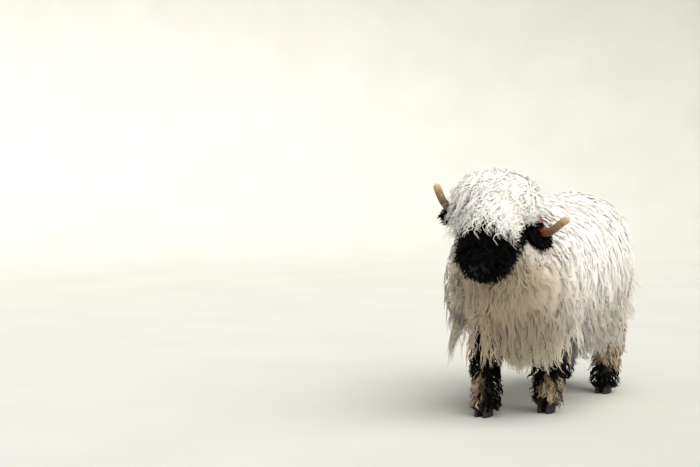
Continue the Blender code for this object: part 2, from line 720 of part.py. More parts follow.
def sheep_builders():
    """What makes each node, in the order in which the earlier cut room in the later."""
    builders = {}
    for word, side in (("left", 1), ("right", -1)):
        builders[f"eye_{word}"] = lambda n, g, s=side: eye_ball(n, s, g)
        builders[f"horn_{word}"] = lambda n, g, s=side: HORNS[s].mesh(n, 14, 8, g)
        builders[f"ear_{word}"] = lambda n, g, s=side: cupped_ear(n, s, 3 * g)
    for name, foot in FEET.items():
        builders[f"hoof_{name}"] = lambda n, g, f=foot: hoof(n, f, g)
    builders["head"] = head
    builders["tail"] = tail
    builders["neck"] = lambda n, g: part_of_fleece(n, True, g)
    builders["torso"] = lambda n, g: part_of_fleece(n, False, g)
    for name in FEET:
        builders[f"leg_{name}"] = lambda n, g, f=name: leg(n, f, g)
    return builders


def main():
    for obj in list(bpy.data.objects):
        bpy.data.objects.remove(obj)
    finishes = [new_finish(*row) for row in FINISHES]
    sheep = bpy.data.collections.new("valais_blacknose_sheep")
    bpy.context.scene.collection.children.link(sheep)
    made, builders = [], sheep_builders()
    for name, build in builders.items():
        obj = build(name, 0.0)
        lo = [min((v.co[i] for v in obj.data.vertices)) for i in range(3)]
        hi = [max((v.co[i] for v in obj.data.vertices)) for i in range(3)]
        cutters = [
            builders[other](other + "_room", CLEARANCE)
            for other, box_lo, box_hi in made
            if all(lo[i] < box_hi[i] and box_lo[i] < hi[i] for i in range(3)) and {name, other} != {"neck", "torso"}
        ]
        if cutters:
            boolean(obj, cutters, "DIFFERENCE")
        obj.name = name
        paint(obj, finishes)
        bpy.context.scene.collection.objects.unlink(obj)
        sheep.objects.link(obj)
        made.append((name, lo, hi))


main()
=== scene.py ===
"""The looks of a life-size Valais Blacknose ewe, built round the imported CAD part.

Run it with blender --background --python scene.py. One skin stands for the CAD nodes of flesh, and
the wool of fleece, crown, face, ears, legs and tail grows from it as solid tapered strands.
Metres, +Z up. The ewe faces -Y and her left side is +X, as in the CAD part.
"""

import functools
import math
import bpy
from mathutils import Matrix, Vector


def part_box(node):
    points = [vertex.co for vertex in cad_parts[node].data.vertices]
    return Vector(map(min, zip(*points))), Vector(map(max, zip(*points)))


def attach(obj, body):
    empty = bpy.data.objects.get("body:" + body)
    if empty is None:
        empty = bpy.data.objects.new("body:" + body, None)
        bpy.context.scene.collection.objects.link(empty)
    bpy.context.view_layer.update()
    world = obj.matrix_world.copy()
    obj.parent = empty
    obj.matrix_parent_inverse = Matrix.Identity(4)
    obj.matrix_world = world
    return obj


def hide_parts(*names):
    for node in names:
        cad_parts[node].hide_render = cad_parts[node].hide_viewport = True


bl_info = {
    "name": "Valais Blacknose ewe",
    "version": (1, 0, 0),
    "blender": (4, 5, 0),
    "location": "3D View > Sidebar > Ewe",
    "description": "Skin, wool, horns, hooves and eyes over the CAD part of a standing ewe",
    "category": "Object",
}

from collections import namedtuple

import bmesh
import bpy
import numpy as np
from bpy.props import FloatProperty, FloatVectorProperty, IntProperty, PointerProperty
from mathutils import Matrix, Vector
from mathutils.bvhtree import BVHTree

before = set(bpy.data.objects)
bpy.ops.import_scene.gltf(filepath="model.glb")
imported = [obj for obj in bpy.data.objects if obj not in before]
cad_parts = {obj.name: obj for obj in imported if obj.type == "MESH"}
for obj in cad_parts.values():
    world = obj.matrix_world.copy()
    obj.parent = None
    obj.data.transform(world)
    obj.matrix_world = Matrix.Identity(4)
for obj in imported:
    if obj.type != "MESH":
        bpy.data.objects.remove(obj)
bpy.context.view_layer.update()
BODY = "root"
BAKE_MAP = "OFBake"
BAKE_PATCH = 0.003  # width of one tuft's patch on the unwrap of the skin
EVEN_STEPS = 0.7548776662, 0.5698402910  # steps of the sequence that spreads roots evenly in two directions

DOWN, LEFT, BACKWARD = (np.array(v, float) for v in ((0, 0, -1), (1, 0, 0), (0, 1, 0)))

# The ewe's driving sizes, as in the CAD part
BARREL_HALF_WIDTH, BACK_HEIGHT = 0.222, 0.787
CHEST_Y, RUMP_Y = -0.455, 0.440
HEAD_YAW, HEAD_ROLL, HEAD_PITCH = math.radians(18), math.radians(14), math.radians(50)
HEAD_LENGTH = 0.32
EYE_RADIUS = 0.0135
EYE_AT = np.array((0.0600, -0.040, 0.014))  # in the head's own frame, on her left
HOOF_HEIGHT = 0.045
SIDES = {"left": 1, "right": -1}  # the ewe's left is +X
CLAW_BACK = 0.004  # how far a claw's middle lies before its foot's point
CLAW_LEVELS = (  # height over the ground, share of the claw's full size there, and how far it has sloped back
    (0.0, 0.96, 0.0),
    (0.002, 1.0, 0.0),
    (0.020, 0.96, 0.003),
    (0.038, 0.84, 0.008),
    (0.046, 0.70, 0.010),
)
FEET = {
    "front_left": np.array((0.084, -0.214, 0.0)),
    "front_right": np.array((-0.084, -0.412, 0.0)),
    "hind_left": np.array((0.114, 0.303, 0.0)),
    "hind_right": np.array((-0.130, 0.400, 0.0)),
}


def middle_of(node):
    low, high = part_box(node)
    return (np.array(low) + np.array(high)) / 2


# From the ewe's own frame to the part's: her front left hoof says how far the part's origin is
SHIFT = Vector((0, middle_of("hoof_front_left")[1] - FEET["front_left"][1] + CLAW_BACK, 0))
HEAD_AT = Vector((0.0125, -0.50, 0.765))
BODY_FRAME = Matrix.Translation(SHIFT)
HEAD_TURN = Matrix.Rotation(HEAD_YAW, 4, "Z") @ Matrix.Rotation(HEAD_ROLL, 4, "Y")
POLL_FRAME = Matrix.Translation(HEAD_AT + SHIFT) @ HEAD_TURN
HEAD_FRAME = POLL_FRAME @ Matrix.Rotation(HEAD_PITCH, 4, "X")
FACING = -np.array(POLL_FRAME.to_3x3() @ Vector(BACKWARD))


def unit(rows):
    """Each row brought to length 1."""
    return rows / np.maximum(np.linalg.norm(rows, axis=-1, keepdims=True), 1e-9)


def dot(a, b):
    return np.sum(a * b, axis=-1)


def ramp(values, start, end):
    """0 at start, 1 at end, and smooth between them."""
    t = np.clip((values - start) / (end - start), 0, 1)
    return t * t * (3 - 2 * t)


def spline(table, places):
    """Rows at places, from 0 to 1, on a smooth curve through the rows of a table."""
    last = len(table) - 1
    place = np.clip(places, 0, 1) * last
    i = np.minimum(place.astype(int), last - 1)
    t = (place - i)[:, None]
    a, b, c, d = (table[np.clip(i + k, 0, last)] for k in (-1, 0, 1, 2))
    return 0.5 * (2 * b + (c - a) * t + (2 * a - 5 * b + 4 * c - d) * t**2 + (3 * b - a - 3 * c + d) * t**3)


class Form:
    """A loft through stations (x, y, z, half width, half height, pear), as the CAD part has it, but drawn in
    by inset. A share runs from 0 to 1 along its line, and a turn from 0 to a full circle round it."""

    SLICES = 61

    def __init__(self, stations, inset=0.0, side=LEFT, frame=BODY_FRAME, tile=(0, 0, 1, 1)):
        self.inset, self.tile = inset, tile
        turn, move = np.array(frame.to_3x3()), np.array(frame.translation)
        fine = spline(np.array(stations, float), np.linspace(0, 1, 400))
        arc = np.concatenate([[0], np.cumsum(np.linalg.norm(np.diff(fine[:, :3], axis=0), axis=1))])
        even = np.linspace(0, arc[-1], self.SLICES)
        rows = np.stack([np.interp(even, arc, column) for column in fine.T], axis=1)
        along = unit(np.gradient(rows[:, :3], axis=0))
        across = unit(np.array(side, float) - along * dot(along, np.array(side, float))[:, None])
        upward = np.cross(across, along)
        self.length = arc[-1]
        moved = [rows[:, :3] @ turn.T + move, across @ turn.T, upward @ turn.T, rows[:, 3:]]
        self.rows = np.concatenate(moved, 1)

    def at(self, share):
        place = np.clip(share, 0, 1) * (self.SLICES - 1)
        i = np.minimum(place.astype(int), self.SLICES - 2)
        t = (place - i)[:, None]
        return self.rows[i] * (1 - t) + self.rows[i + 1] * t

    def surface(self, share, turn, grow=0.0):
        row = self.at(share)
        sine, cosine = np.sin(turn), np.cos(turn)
        wide = np.maximum(row[:, 9] * (1 + row[:, 11] * sine) + grow, 0.003)
        high = np.maximum(row[:, 10] + grow, 0.003)
        return row[:, :3] + row[:, 3:6] * (wide * cosine)[:, None] + row[:, 6:9] * (high * sine)[:, None]

    def skin(self, share, turn):
        return self.surface(share, turn, -self.inset)

    def outward(self, share, turn):
        step = 0.02
        along = self.skin(np.minimum(share + step, 1), turn) - self.skin(np.maximum(share - step, 0), turn)
        around = self.skin(share, turn + step) - self.skin(share, turn - step)
        out = unit(np.cross(along, around))
        return out * np.sign(dot(out, self.skin(share, turn) - self.at(share)[:, :3]))[:, None]

    def area(self, span):
        """Area of the drawn-in surface up to each slice, as (shares, running sums)."""
        shares = np.linspace(*span, 80)
        row = self.at(shares)
        radius = np.maximum((row[:, 9] + row[:, 10]) / 2 - self.inset, 0.005)
        slant = np.hypot(np.diff(shares) * self.length, np.diff(radius))
        return shares, np.concatenate([[0], np.cumsum(math.pi * (radius[1:] + radius[:-1]) * slant)])

    def scatter(self, density, draw, span=(0.0, 1.0)):
        """Shares and turns of roots spread evenly over the form, so many to the square metre."""
        shares, sums = self.area(span)
        i = np.arange(int(sums[-1] * density)) + draw.uniform(0, 1000)
        share = np.interp((i * EVEN_STEPS[0] % 1) * sums[-1], sums, shares)
        turn = (i * EVEN_STEPS[1] % 1) * math.tau
        jitter = 0.3 / math.sqrt(density)
        return share + draw.normal(0, jitter / self.length / 2, len(i)), turn + draw.normal(0, jitter, len(i))

    def holds(self, spots, margin=0.0):
        """Which spots lie inside the CAD form grown by margin."""
        inside = np.zeros(len(spots), bool)
        reach = self.length / (self.SLICES - 1)
        for row in self.rows[::2]:
            away = spots - row[:3]
            level = np.abs(away @ np.cross(row[3:6], row[6:9])) < reach * 1.1 + max(margin, 0)
            round_it = np.hypot(away @ row[3:6] / (row[9] + margin), away @ row[6:9] / (row[10] + margin)) < 1
            inside |= level & round_it
        return inside

    def on_unwrap(self, share, turn):
        """Where a place lies on the unwrap, on which each form has a tile of its own."""
        u, v, wide, high = self.tile
        return np.stack([u + np.clip(share, 0, 1) * wide, v + (turn % math.tau) / math.tau * high], 1)


# How far the skin lies under the cores of the CAD part's coat
TORSO_INSET, NECK_INSET, MOP_INSET = 0.040, 0.035, 0.028
LEG_INSET, TAIL_INSET, HEAD_INSET = 0.011, 0.010, 0.002
MID = BACK_HEIGHT - 0.231

TORSO = Form(
    [
        (0, CHEST_Y, MID + 0.005, 0.055, 0.055, 0.0),
        (0, CHEST_Y + 0.012, MID + 0.004, 0.136, 0.132, 0.0),
        (0, -0.405, MID + 0.000, 0.198, 0.198, -0.06),
        (0, -0.320, MID + 0.000, 0.219, 0.224, -0.09),
        (0, -0.200, MID + 0.000, 0.222, 0.230, -0.12),
        (0, -0.040, MID - 0.001, BARREL_HALF_WIDTH, 0.231, -0.13),
        (0, 0.120, MID + 0.000, BARREL_HALF_WIDTH, 0.231, -0.12),
        (0, 0.270, MID + 0.010, 0.214, 0.217, -0.09),
        (0, 0.370, MID + 0.025, 0.182, 0.190, -0.05),
        (0, 0.420, MID + 0.035, 0.125, 0.140, 0.0),
        (0, RUMP_Y, MID + 0.040, 0.045, 0.050, 0.0),
    ],
    TORSO_INSET,
    tile=(0.01, 0.01, 0.58, 0.58),
)
NECK = Form(
    [
        (0.000, -0.270, 0.630, 0.145, 0.150, 0.0),
        (0.002, -0.350, 0.640, 0.152, 0.160, 0.0),
        (0.006, -0.415, 0.665, 0.136, 0.142, 0.0),
        (0.014, -0.455, 0.695, 0.102, 0.110, 0.0),
        (0.018, -0.475, 0.705, 0.045, 0.055, 0.0),
    ],
    NECK_INSET,
    tile=(0.61, 0.01, 0.18, 0.38),
)
HEAD = Form(
    [
        (0, 0.075, 0.006, 0.034, 0.034, 0.0),
        (0, 0.055, 0.002, 0.058, 0.058, 0.0),
        (0, 0.015, -0.006, 0.069, 0.072, 0.05),
        (0, -0.035, -0.016, 0.073, 0.078, 0.10),
        (0, -0.090, -0.025, 0.063, 0.069, 0.06),
        (0, -0.140, -0.031, 0.055, 0.057, 0.0),
        (0, -0.185, -0.036, 0.051, 0.049, -0.05),
        (0, -0.218, -0.041, 0.047, 0.043, -0.05),
        (0, -0.237, -0.045, 0.036, 0.034, 0.0),
        (0, 0.075 - HEAD_LENGTH, -0.048, 0.018, 0.019, 0.0),
    ],
    HEAD_INSET,
    frame=HEAD_FRAME,
    tile=(0.01, 0.61, 0.30, 0.36),
)
MOP = Form(
    [
        (-0.122, 0.030, 0.036, 0.030, 0.030, 0.0),
        (-0.104, 0.030, 0.042, 0.062, 0.055, 0.0),
        (-0.055, 0.030, 0.048, 0.086, 0.076, 0.0),
        (0.000, 0.030, 0.052, 0.094, 0.084, 0.0),
        (0.055, 0.030, 0.048, 0.086, 0.076, 0.0),
        (0.104, 0.030, 0.042, 0.062, 0.055, 0.0),
        (0.122, 0.030, 0.036, 0.030, 0.030, 0.0),
    ],
    MOP_INSET,
    side=BACKWARD,
    frame=POLL_FRAME,
    tile=(0.33, 0.61, 0.32, 0.36),
)
TAIL = Form(
    [
        (0, 0.380, 0.700, 0.026, 0.026, 0.0),
        (0, 0.446, 0.680, 0.030, 0.030, 0.0),
        (0, 0.480, 0.600, 0.033, 0.028, 0.0),
        (0, 0.486, 0.480, 0.033, 0.026, 0.0),
        (0, 0.484, 0.390, 0.024, 0.020, 0.0),
        (0, 0.482, 0.340, 0.010, 0.009, 0.0),
    ],
    TAIL_INSET,
    tile=(0.81, 0.01, 0.17, 0.16),
)


def front_leg(foot, tile):
    """From inside the chest, past elbow, knee and fetlock, to the top of the hoof."""
    side = math.copysign(1, foot[0])
    elbow = np.array((0.105 * side, -0.250, 0.430))
    knee = np.array((0.096 * side, (elbow[1] + 1.6 * foot[1]) / 2.6 - 0.012, 0.265))
    stations = [
        (*elbow, 0.062, 0.075, 0.0),
        (*(elbow + (knee - elbow) * 0.55), 0.056, 0.062, 0.0),
        (*knee, 0.049, 0.051, 0.0),
        (*(knee + (foot - knee) * 0.45), 0.041, 0.042, 0.0),
        (foot[0], foot[1] + 0.014, 0.098, 0.043, 0.045, 0.0),
        (foot[0], foot[1] + 0.006, HOOF_HEIGHT * 0.8, 0.038, 0.042, 0.0),
    ]
    return Form(stations, LEG_INSET, tile=tile)


def hind_leg(foot, tile):
    """From inside the rump, past stifle, hock and fetlock, to the top of the hoof."""
    side = math.copysign(1, foot[0])
    hock = np.array((foot[0], foot[1] + 0.085, 0.265))
    stifle = np.array((0.108 * side, foot[1] * 0.5 + 0.105, 0.430))
    stations = [
        (*stifle, 0.056, 0.085, 0.0),
        (*(stifle + (hock - stifle) * 0.55), 0.055, 0.072, 0.0),
        (*hock, 0.046, 0.052, 0.0),
        (*(hock + (foot - hock) * 0.42), 0.042, 0.044, 0.0),
        (foot[0], foot[1] + 0.020, 0.098, 0.043, 0.045, 0.0),
        (foot[0], foot[1] + 0.006, HOOF_HEIGHT * 0.8, 0.038, 0.042, 0.0),
    ]
    return Form(stations, LEG_INSET, tile=tile)


LEGS = {
    name: (front_leg if name.startswith("front") else hind_leg)(foot, (0.67 + 0.08 * i, 0.41, 0.07, 0.56))
    for i, (name, foot) in enumerate(FEET.items())
}


def horn(side):
    """A corkscrew: out of the poll, back, down and forward again, with its tip turned up and out."""
    coil_radius, coil_y, coil_z = 0.056, 0.030, 0.030
    first, last, count = math.radians(-25), math.radians(305), 9
    stations = []
    for t in np.linspace(0, 1, count):
        turn, radius = first + (last - first) * t, coil_radius * (1 - 0.18 * t)
        girth = 0.0240 * (1 - t) + 0.0130 * t
        y, z = coil_y + radius * math.sin(turn), coil_z + radius * math.cos(turn)
        stations.append(((0.052 + 0.200 * t) * side, y, z, girth, girth * 0.8, 0.0))
    return Form(stations, side=(0, 0.3, 1), frame=POLL_FRAME)


def ear(side):
    """The axis, half width and thickness of a broad, soft ear that droops outwards."""
    stations = [
        (0.060 * side, 0.030, 0.000, 0.018, 0.016, 0.0),
        (0.088 * side, 0.034, -0.006, 0.028, 0.014, 0.0),
        (0.122 * side, 0.036, -0.018, 0.036, 0.012, 0.0),
        (0.156 * side, 0.032, -0.036, 0.036, 0.010, 0.0),
        (0.184 * side, 0.024, -0.055, 0.027, 0.008, 0.0),
        (0.200 * side, 0.018, -0.066, 0.012, 0.005, 0.0),
    ]
    tile = (0.33 + 0.17 * (side > 0), 0.61, 0.15, 0.36)
    return Form(stations, side=(0, 0.35, 1), frame=POLL_FRAME, tile=tile)


HORNS = {side: horn(side) for side in SIDES.values()}
EARS = {side: ear(side) for side in SIDES.values()}


def leg_marks(name, spots):
    """How black and how tan a leg is at each spot: black knee and foot, tan between, mostly outside."""
    height, ragged = spots[:, 2], 0.012 * np.sin(spots[:, 0] * 210 + spots[:, 1] * 170)
    if name.startswith("hind"):
        black = 1 - ramp(height + ragged, 0.120, 0.150)
        return black, 1 - black
    foot = FEET[name]
    outer = (spots[:, 0] - foot[0]) * math.copysign(1, foot[0])
    band = ramp(height + ragged, 0.055, 0.068) * (1 - ramp(height + ragged, 0.150, 0.168))
    tan = band * ramp(outer + ragged / 2, -0.006, 0.008)
    return 1 - tan, tan


# Materials


def linear(hex_colour):
    """An sRGB hex value as linear RGBA."""
    shares = [int(hex_colour[i : i + 2], 16) / 255 for i in (1, 3, 5)]
    return (*[s / 12.92 if s <= 0.04045 else ((s + 0.055) / 1.055) ** 2.4 for s in shares], 1.0)


def add_node(tree, kind, inputs, output=0, **settings):
    """Adds a node with its settings and gives one of its outputs. Its inputs, in order or by name or number,
    are values or the outputs of other nodes."""
    made = tree.nodes.new(f"ShaderNode{kind}")
    for key, value in settings.items():
        setattr(made, key, value)
    for key, value in inputs.items() if isinstance(inputs, dict) else enumerate(inputs):
        if isinstance(value, bpy.types.NodeSocket):
            tree.links.new(value, made.inputs[key])
        else:
            made.inputs[key].default_value = value
    return made.outputs[output]


FACTOR, FIRST, SECOND = 0, 6, 7  # inputs of a Mix node that mixes colours
COLOURS = {"output": 2, "data_type": "RGBA"}  # what makes a Mix node mix colours


def new_material(name, *attributes):
    """A material, the function that adds nodes to it, its Object coordinates and these attributes."""
    made = bpy.data.materials.new(name)
    made.use_nodes = True
    node = functools.partial(add_node, made.node_tree)
    read = [node("Attribute", (), "Fac", attribute_name=attribute) for attribute in attributes]
    return made, node, node("TexCoord", (), "Object"), *read


def set_shader(material, colour, normal=None, **numbers):
    """Feeds the material's shader with a colour and a normal, and sets its numbers on their own sockets."""
    shader = material.node_tree.nodes["Principled BSDF"]
    material.node_tree.links.new(colour, shader.inputs["Base Color"])
    if normal is not None:
        material.node_tree.links.new(normal, shader.inputs["Normal"])
    for key, number in numbers.items():
        shader.inputs[key.replace("_", " ")].default_value = number
    return material


def cream_wool():
    """Long white wool of a washed but outdoor sheep: chalk-white at the tips, cream along the staple and
    yellower at the root, where grease stays, with a soft sheen from its scales."""
    settings = bpy.context.scene.ewe
    made, node, place, along, shade = new_material("Long wavy cream wool", "along", "shade")
    back, height = (node("SeparateXYZ", (place,), axis) for axis in "YZ")
    root, tip, low_dust_and_shade = ((*c, 1) for c in (settings.wool_root, settings.wool_tip, settings.wool_low_dust_and_shade))
    wool = node("Mix", {FACTOR: node("MapRange", (along, 0.0, 0.6)), FIRST: root, SECOND: tip}, **COLOURS)
    patches = node("TexNoise", {"Vector": place, "Scale": 7.0, "Detail": 3.0}, "Fac")
    # Partly dust and partly painted shade: low on the body the wool turns darker and yellower, in patches
    low = node("MapRange", (height, 0.60, 0.22, 0.0, 0.72))
    dust = node("Math", (low, node("MapRange", (patches, 0.35, 0.7, 0.5, 1.0))), operation="MULTIPLY")
    wool = node("Mix", {FACTOR: dust, FIRST: wool, SECOND: low_dust_and_shade}, **COLOURS)
    # Painted shadow of the head on the chest, partly also real dirt: the wool at the front, below the neck,
    # is mixed towards dark tan
    front, under = node("MapRange", (back, -0.24, -0.44)), node("MapRange", (height, 0.70, 0.58, 0.0, 0.8))
    head_shadow_and_chest_dirt = node("Math", (front, under), operation="MULTIPLY")
    wool = node("Mix", {FACTOR: head_shadow_and_chest_dirt, FIRST: wool, SECOND: linear("#A38D68")}, **COLOURS)
    tone = node("MapRange", (shade, 0.0, 1.0, 0.0, 0.14))
    toned = {FACTOR: tone, FIRST: wool, SECOND: linear("#C4A878")}
    wool = node("Mix", toned, blend_type="MULTIPLY", **COLOURS)
    fibres = node("TexNoise", {"Vector": place, "Scale": 350.0, "Detail": 3.0}, "Fac")
    bump = node("Bump", {"Height": fibres, "Strength": 0.2, "Distance": 0.001})
    return set_shader(
        made, wool, bump, Roughness=0.95, Sheen_Weight=0.4, Sheen_Roughness=0.5, Specular_IOR_Level=0.1
    )


def dark_wool():
    """Short curly black wool: near black, a little browner at its tips, and tan on the legs' bands."""
    settings = bpy.context.scene.ewe
    name = "Short curly black and tan wool"
    made, node, place, along, tan, shade = new_material(name, "along", "tan", "shade")
    root, tip = (*settings.black_root, 1), (*settings.black_tip, 1)
    worn = node("MapRange", (along, 0.3, 1.0, 0.0, 0.55))
    black = node("Mix", {FACTOR: worn, FIRST: root, SECOND: tip}, **COLOURS)
    patches = node("TexNoise", {"Vector": place, "Scale": 40.0, "Detail": 2.0}, "Fac")
    brown = node("Mix", {FACTOR: patches, FIRST: linear("#AD9075"), SECOND: linear("#DECAB0")}, **COLOURS)
    wool = node("Mix", {FACTOR: tan, FIRST: black, SECOND: brown}, **COLOURS)
    tone = node("MapRange", (shade, 0.0, 1.0, 0.0, 0.45))
    toned = {FACTOR: tone, FIRST: wool, SECOND: linear("#8A7A6C")}
    wool = node("Mix", toned, blend_type="MULTIPLY", **COLOURS)
    return set_shader(
        made, wool, Roughness=0.85, Sheen_Weight=0.02, Sheen_Roughness=0.4, Specular_IOR_Level=0.08
    )


def hide():
    """Bare skin: leathery black with fine pores on face and legs, and cream under the white wool."""
    made, node, place, black, tan = new_material("Black and cream hide", "black", "tan")
    pores = node("TexVoronoi", {"Vector": place, "Scale": 420.0}, "Distance")
    down = node("TexNoise", {"Vector": place, "Scale": 90.0, "Detail": 6.0, "Roughness": 0.7}, "Fac")
    cream, dark, brown = (
        node("Mix", {FACTOR: down, FIRST: linear(first), SECOND: linear(second)}, **COLOURS)
        for first, second in (("#E9DCC2", "#F5ECD9"), ("#070606", "#1A1513"), ("#7C5A40", "#A98465"))
    )
    skin = node("Mix", {FACTOR: black, FIRST: cream, SECOND: dark}, **COLOURS)
    skin = node("Mix", {FACTOR: tan, FIRST: skin, SECOND: brown}, **COLOURS)
    bump = node("Bump", {"Height": pores, "Strength": 0.5, "Distance": 0.0006})
    bump = node("Bump", {"Height": down, "Normal": bump, "Strength": 0.6, "Distance": 0.003})
    return set_shader(made, skin, bump, Roughness=0.62)


def horn_keratin():
    """Grown keratin horn: reddish brown, darker in its rings, waxy pale and smoother at the worn tip."""
    made, node, place, along, groove = new_material("Ringed keratin horn", "along", "groove")
    fibres = node("TexNoise", {"Vector": place, "Scale": 70.0, "Detail": 6.0, "Roughness": 0.7}, "Fac")
    grain = node("MapRange", (fibres, 0.35, 0.65))
    red, brown = (
        node("Mix", {FACTOR: grain, FIRST: linear(first), SECOND: linear(second)}, **COLOURS)
        for first, second in (("#5E2F20", "#9A5B42"), ("#6E5139", "#A98A6C"))
    )
    horn = node("Mix", {FACTOR: node("MapRange", (along, 0.62, 0.84)), FIRST: red, SECOND: brown}, **COLOURS)
    ringed = node("MapRange", (groove, 0.1, 0.9, 0.0, 0.85))
    horn = node("Mix", {FACTOR: ringed, FIRST: horn, SECOND: linear("#33221A")}, **COLOURS)
    worn = node("MapRange", (along, 0.90, 1.0, 0.0, 0.8))
    horn = node("Mix", {FACTOR: worn, FIRST: horn, SECOND: linear("#C9BC9A")}, **COLOURS)
    bump = node("Bump", {"Height": fibres, "Strength": 0.7, "Distance": 0.002})
    return set_shader(made, horn, bump, Roughness=0.6, Specular_IOR_Level=0.3)


def hoof_keratin():
    """Dark hoof horn: dull, finely ringed, dusty towards the ground."""
    made, node, place = new_material("Dusty dark hoof keratin")
    waves = {"Vector": place, "Scale": 55.0, "Distortion": 2.0}
    rings = node("TexWave", waves, "Fac", bands_direction="Z")
    grit = node("TexNoise", {"Vector": place, "Scale": 50.0, "Detail": 4.0}, "Fac")
    hoof = node("Mix", {FACTOR: rings, FIRST: linear("#0D0B0A"), SECOND: linear("#1C1714")}, **COLOURS)
    dust = node("Mix", {FACTOR: grit, FIRST: linear("#171310"), SECOND: linear("#2A241F")}, **COLOURS)
    low = node("MapRange", (node("SeparateXYZ", (place,), "Z"), 0.03, 0.0, 0.0, 0.6))
    hoof = node("Mix", {FACTOR: low, FIRST: hoof, SECOND: dust}, **COLOURS)
    bump = node("Bump", {"Height": rings, "Strength": 0.35, "Distance": 0.0008})
    return set_shader(made, hoof, bump, Roughness=0.6)


def eye_wet():
    """A wet sheep's eye: amber iris, a level slot of a pupil and a dark rim, all under one glossy film."""
    made, node, place, iris, pupil = new_material("Wet amber eye", "iris", "pupil")
    flecks = node("TexNoise", {"Vector": place, "Scale": 900.0, "Detail": 3.0}, "Fac")
    amber = node("Mix", {FACTOR: flecks, FIRST: linear("#5A3414"), SECOND: linear("#B07B33")}, **COLOURS)
    inner = node("MapRange", (iris, 0.85, 1.0))
    eye = node("Mix", {FACTOR: inner, FIRST: linear("#0B0706"), SECOND: amber}, **COLOURS)
    slot = node("MapRange", (pupil, 0.4, 0.6))
    eye = node("Mix", {FACTOR: slot, FIRST: eye, SECOND: linear("#020202")}, **COLOURS)
    return set_shader(made, eye, Roughness=0.04, IOR=1.38, Coat_Weight=0.6, Coat_Roughness=0.02)


def studio_floor():
    """Matt painted studio floor, so pale and even that only the ewe's soft shadow marks it."""
    made, node, place = new_material("Matt pale studio paint")
    roller = node("TexNoise", {"Vector": place, "Scale": 1.5, "Detail": 3.0}, "Fac")
    pale = (*bpy.context.scene.ewe.floor_colour, 1)
    paint = node("Mix", {FACTOR: roller, FIRST: pale, SECOND: linear("#B9B8B2")}, **COLOURS)
    return set_shader(made, paint, Roughness=0.9)


def finish(make):
    """The material of that maker, made once."""
    scene, key = bpy.context.scene, f"ewe_{make.__name__}"
    if key not in scene:
        scene[key] = make().name
    return bpy.data.materials[scene[key]]


# Mesh tools


def to_object(name, bm, closed=True):
    """A smooth object of a bmesh, which it frees; a closed one is turned right side out."""
    if closed:
        bmesh.ops.recalc_face_normals(bm, faces=bm.faces)
    mesh = bpy.data.meshes.new(name)
    bm.to_mesh(mesh)
    bm.free()
    made = bpy.data.objects.new(name, mesh)
    bpy.context.scene.collection.objects.link(made)
    mesh.shade_smooth()
    return made


def settle(obj):
    """Applies an object's modifiers to its mesh."""
    graph = bpy.context.evaluated_depsgraph_get()
    done = bpy.data.meshes.new_from_object(obj.evaluated_get(graph))
    obj.modifiers.clear()
    old, obj.data = obj.data, done
    bpy.data.meshes.remove(old)
    return obj


def bridged(bm, rings):
    """A closed wall through rings of points, with its two ends filled."""
    before, last = None, None
    for spots in rings:
        circle = bmesh.ops.create_circle(bm, cap_ends=False, segments=len(spots), radius=1.0)["verts"]
        for vert, spot in zip(circle, spots):
            vert.co = spot
        edges = list({edge for vert in circle for edge in vert.link_edges})
        if last is None:
            bmesh.ops.contextual_create(bm, geom=edges)
        else:
            bmesh.ops.bridge_loops(bm, edges=before + edges)
        before, last = edges, circle
    bmesh.ops.contextual_create(bm, geom=before)


def loft(bm, form, rings, sides, grow=None):
    """A form's surface as a closed wall, drawn in to the skin, or grown by as much as grow says."""
    turns = np.arange(sides) * math.tau / sides
    grow = -form.inset if grow is None else grow
    bridged(bm, [form.surface(np.full(sides, s), turns, grow) for s in np.linspace(0, 1, rings)])


def lofted(name, forms, rings, sides, grow=None):
    """The lofts of these forms as one object."""
    bm = bmesh.new()
    for form in forms:
        loft(bm, form, rings, sides, grow)
    return to_object(name, bm)


def remesh(obj, voxel, rounds, smoothing):
    """Fuses overlapping closed shells into one and smooths it."""
    modifier = obj.modifiers.new("fuse", "REMESH")
    modifier.mode, modifier.voxel_size = "VOXEL", voxel
    settle(obj)
    modifier = obj.modifiers.new("soften", "SMOOTH")
    modifier.factor, modifier.iterations = smoothing, rounds
    return settle(obj)


def boolean(obj, other, operation):
    modifier = obj.modifiers.new("cut", "BOOLEAN")
    modifier.operation, modifier.solver, modifier.object = operation, "MANIFOLD", other
    settle(obj)
    bpy.data.objects.remove(other)
    return obj


def spots_of(obj, key="co"):
    """The places of an object's vertices, or their normals."""
    spots = np.empty(len(obj.data.vertices) * 3)
    obj.data.vertices.foreach_get(key, spots)
    return spots.reshape(-1, 3)


def move_to(obj, spots):
    obj.data.vertices.foreach_set("co", spots.astype(np.float32).ravel())
    obj.data.update()


def give(obj, name, values):
    """A number for each vertex, which a material reads by name."""
    made = obj.data.attributes.new(name, "FLOAT", "POINT")
    made.data.foreach_set("value", np.asarray(values, np.float32))


def dress(obj, material, replaces=()):
    """Finishes a piece: its material, the body it rides on and the nodes it stands for."""
    obj.data.materials.clear()
    obj.data.materials.append(material)
    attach(obj, BODY)
    if replaces:
        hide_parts(*replaces)
    return obj


def in_head(spots):
    """Points of the head's own frame, in the part's frame."""
    return np.asarray(spots) @ np.array(HEAD_FRAME.to_3x3()).T + np.array(HEAD_FRAME.translation)


def seen_from(frame, spots):
    """Points of the part's frame, in a frame of the head."""
    return (spots - np.array(frame.translation)) @ np.array(frame.to_3x3())


def tube(bm, path, radii, flatness=1.0, sides=10):
    """A closed tube along a path, such as a lid or a lip."""
    path = np.asarray(path, float)
    along = unit(np.gradient(path, axis=0))
    across = unit(np.cross(along, path - path.mean(0)))
    through = np.cross(along, across)
    turns = np.arange(sides) * math.tau / sides
    rings = []
    for spot, radius, wide, deep in zip(path, radii, across, through):
        flat = np.outer(np.cos(turns), wide) * radius * flatness
        rings.append(spot + flat + np.outer(np.sin(turns), deep) * radius)
    bridged(bm, rings)


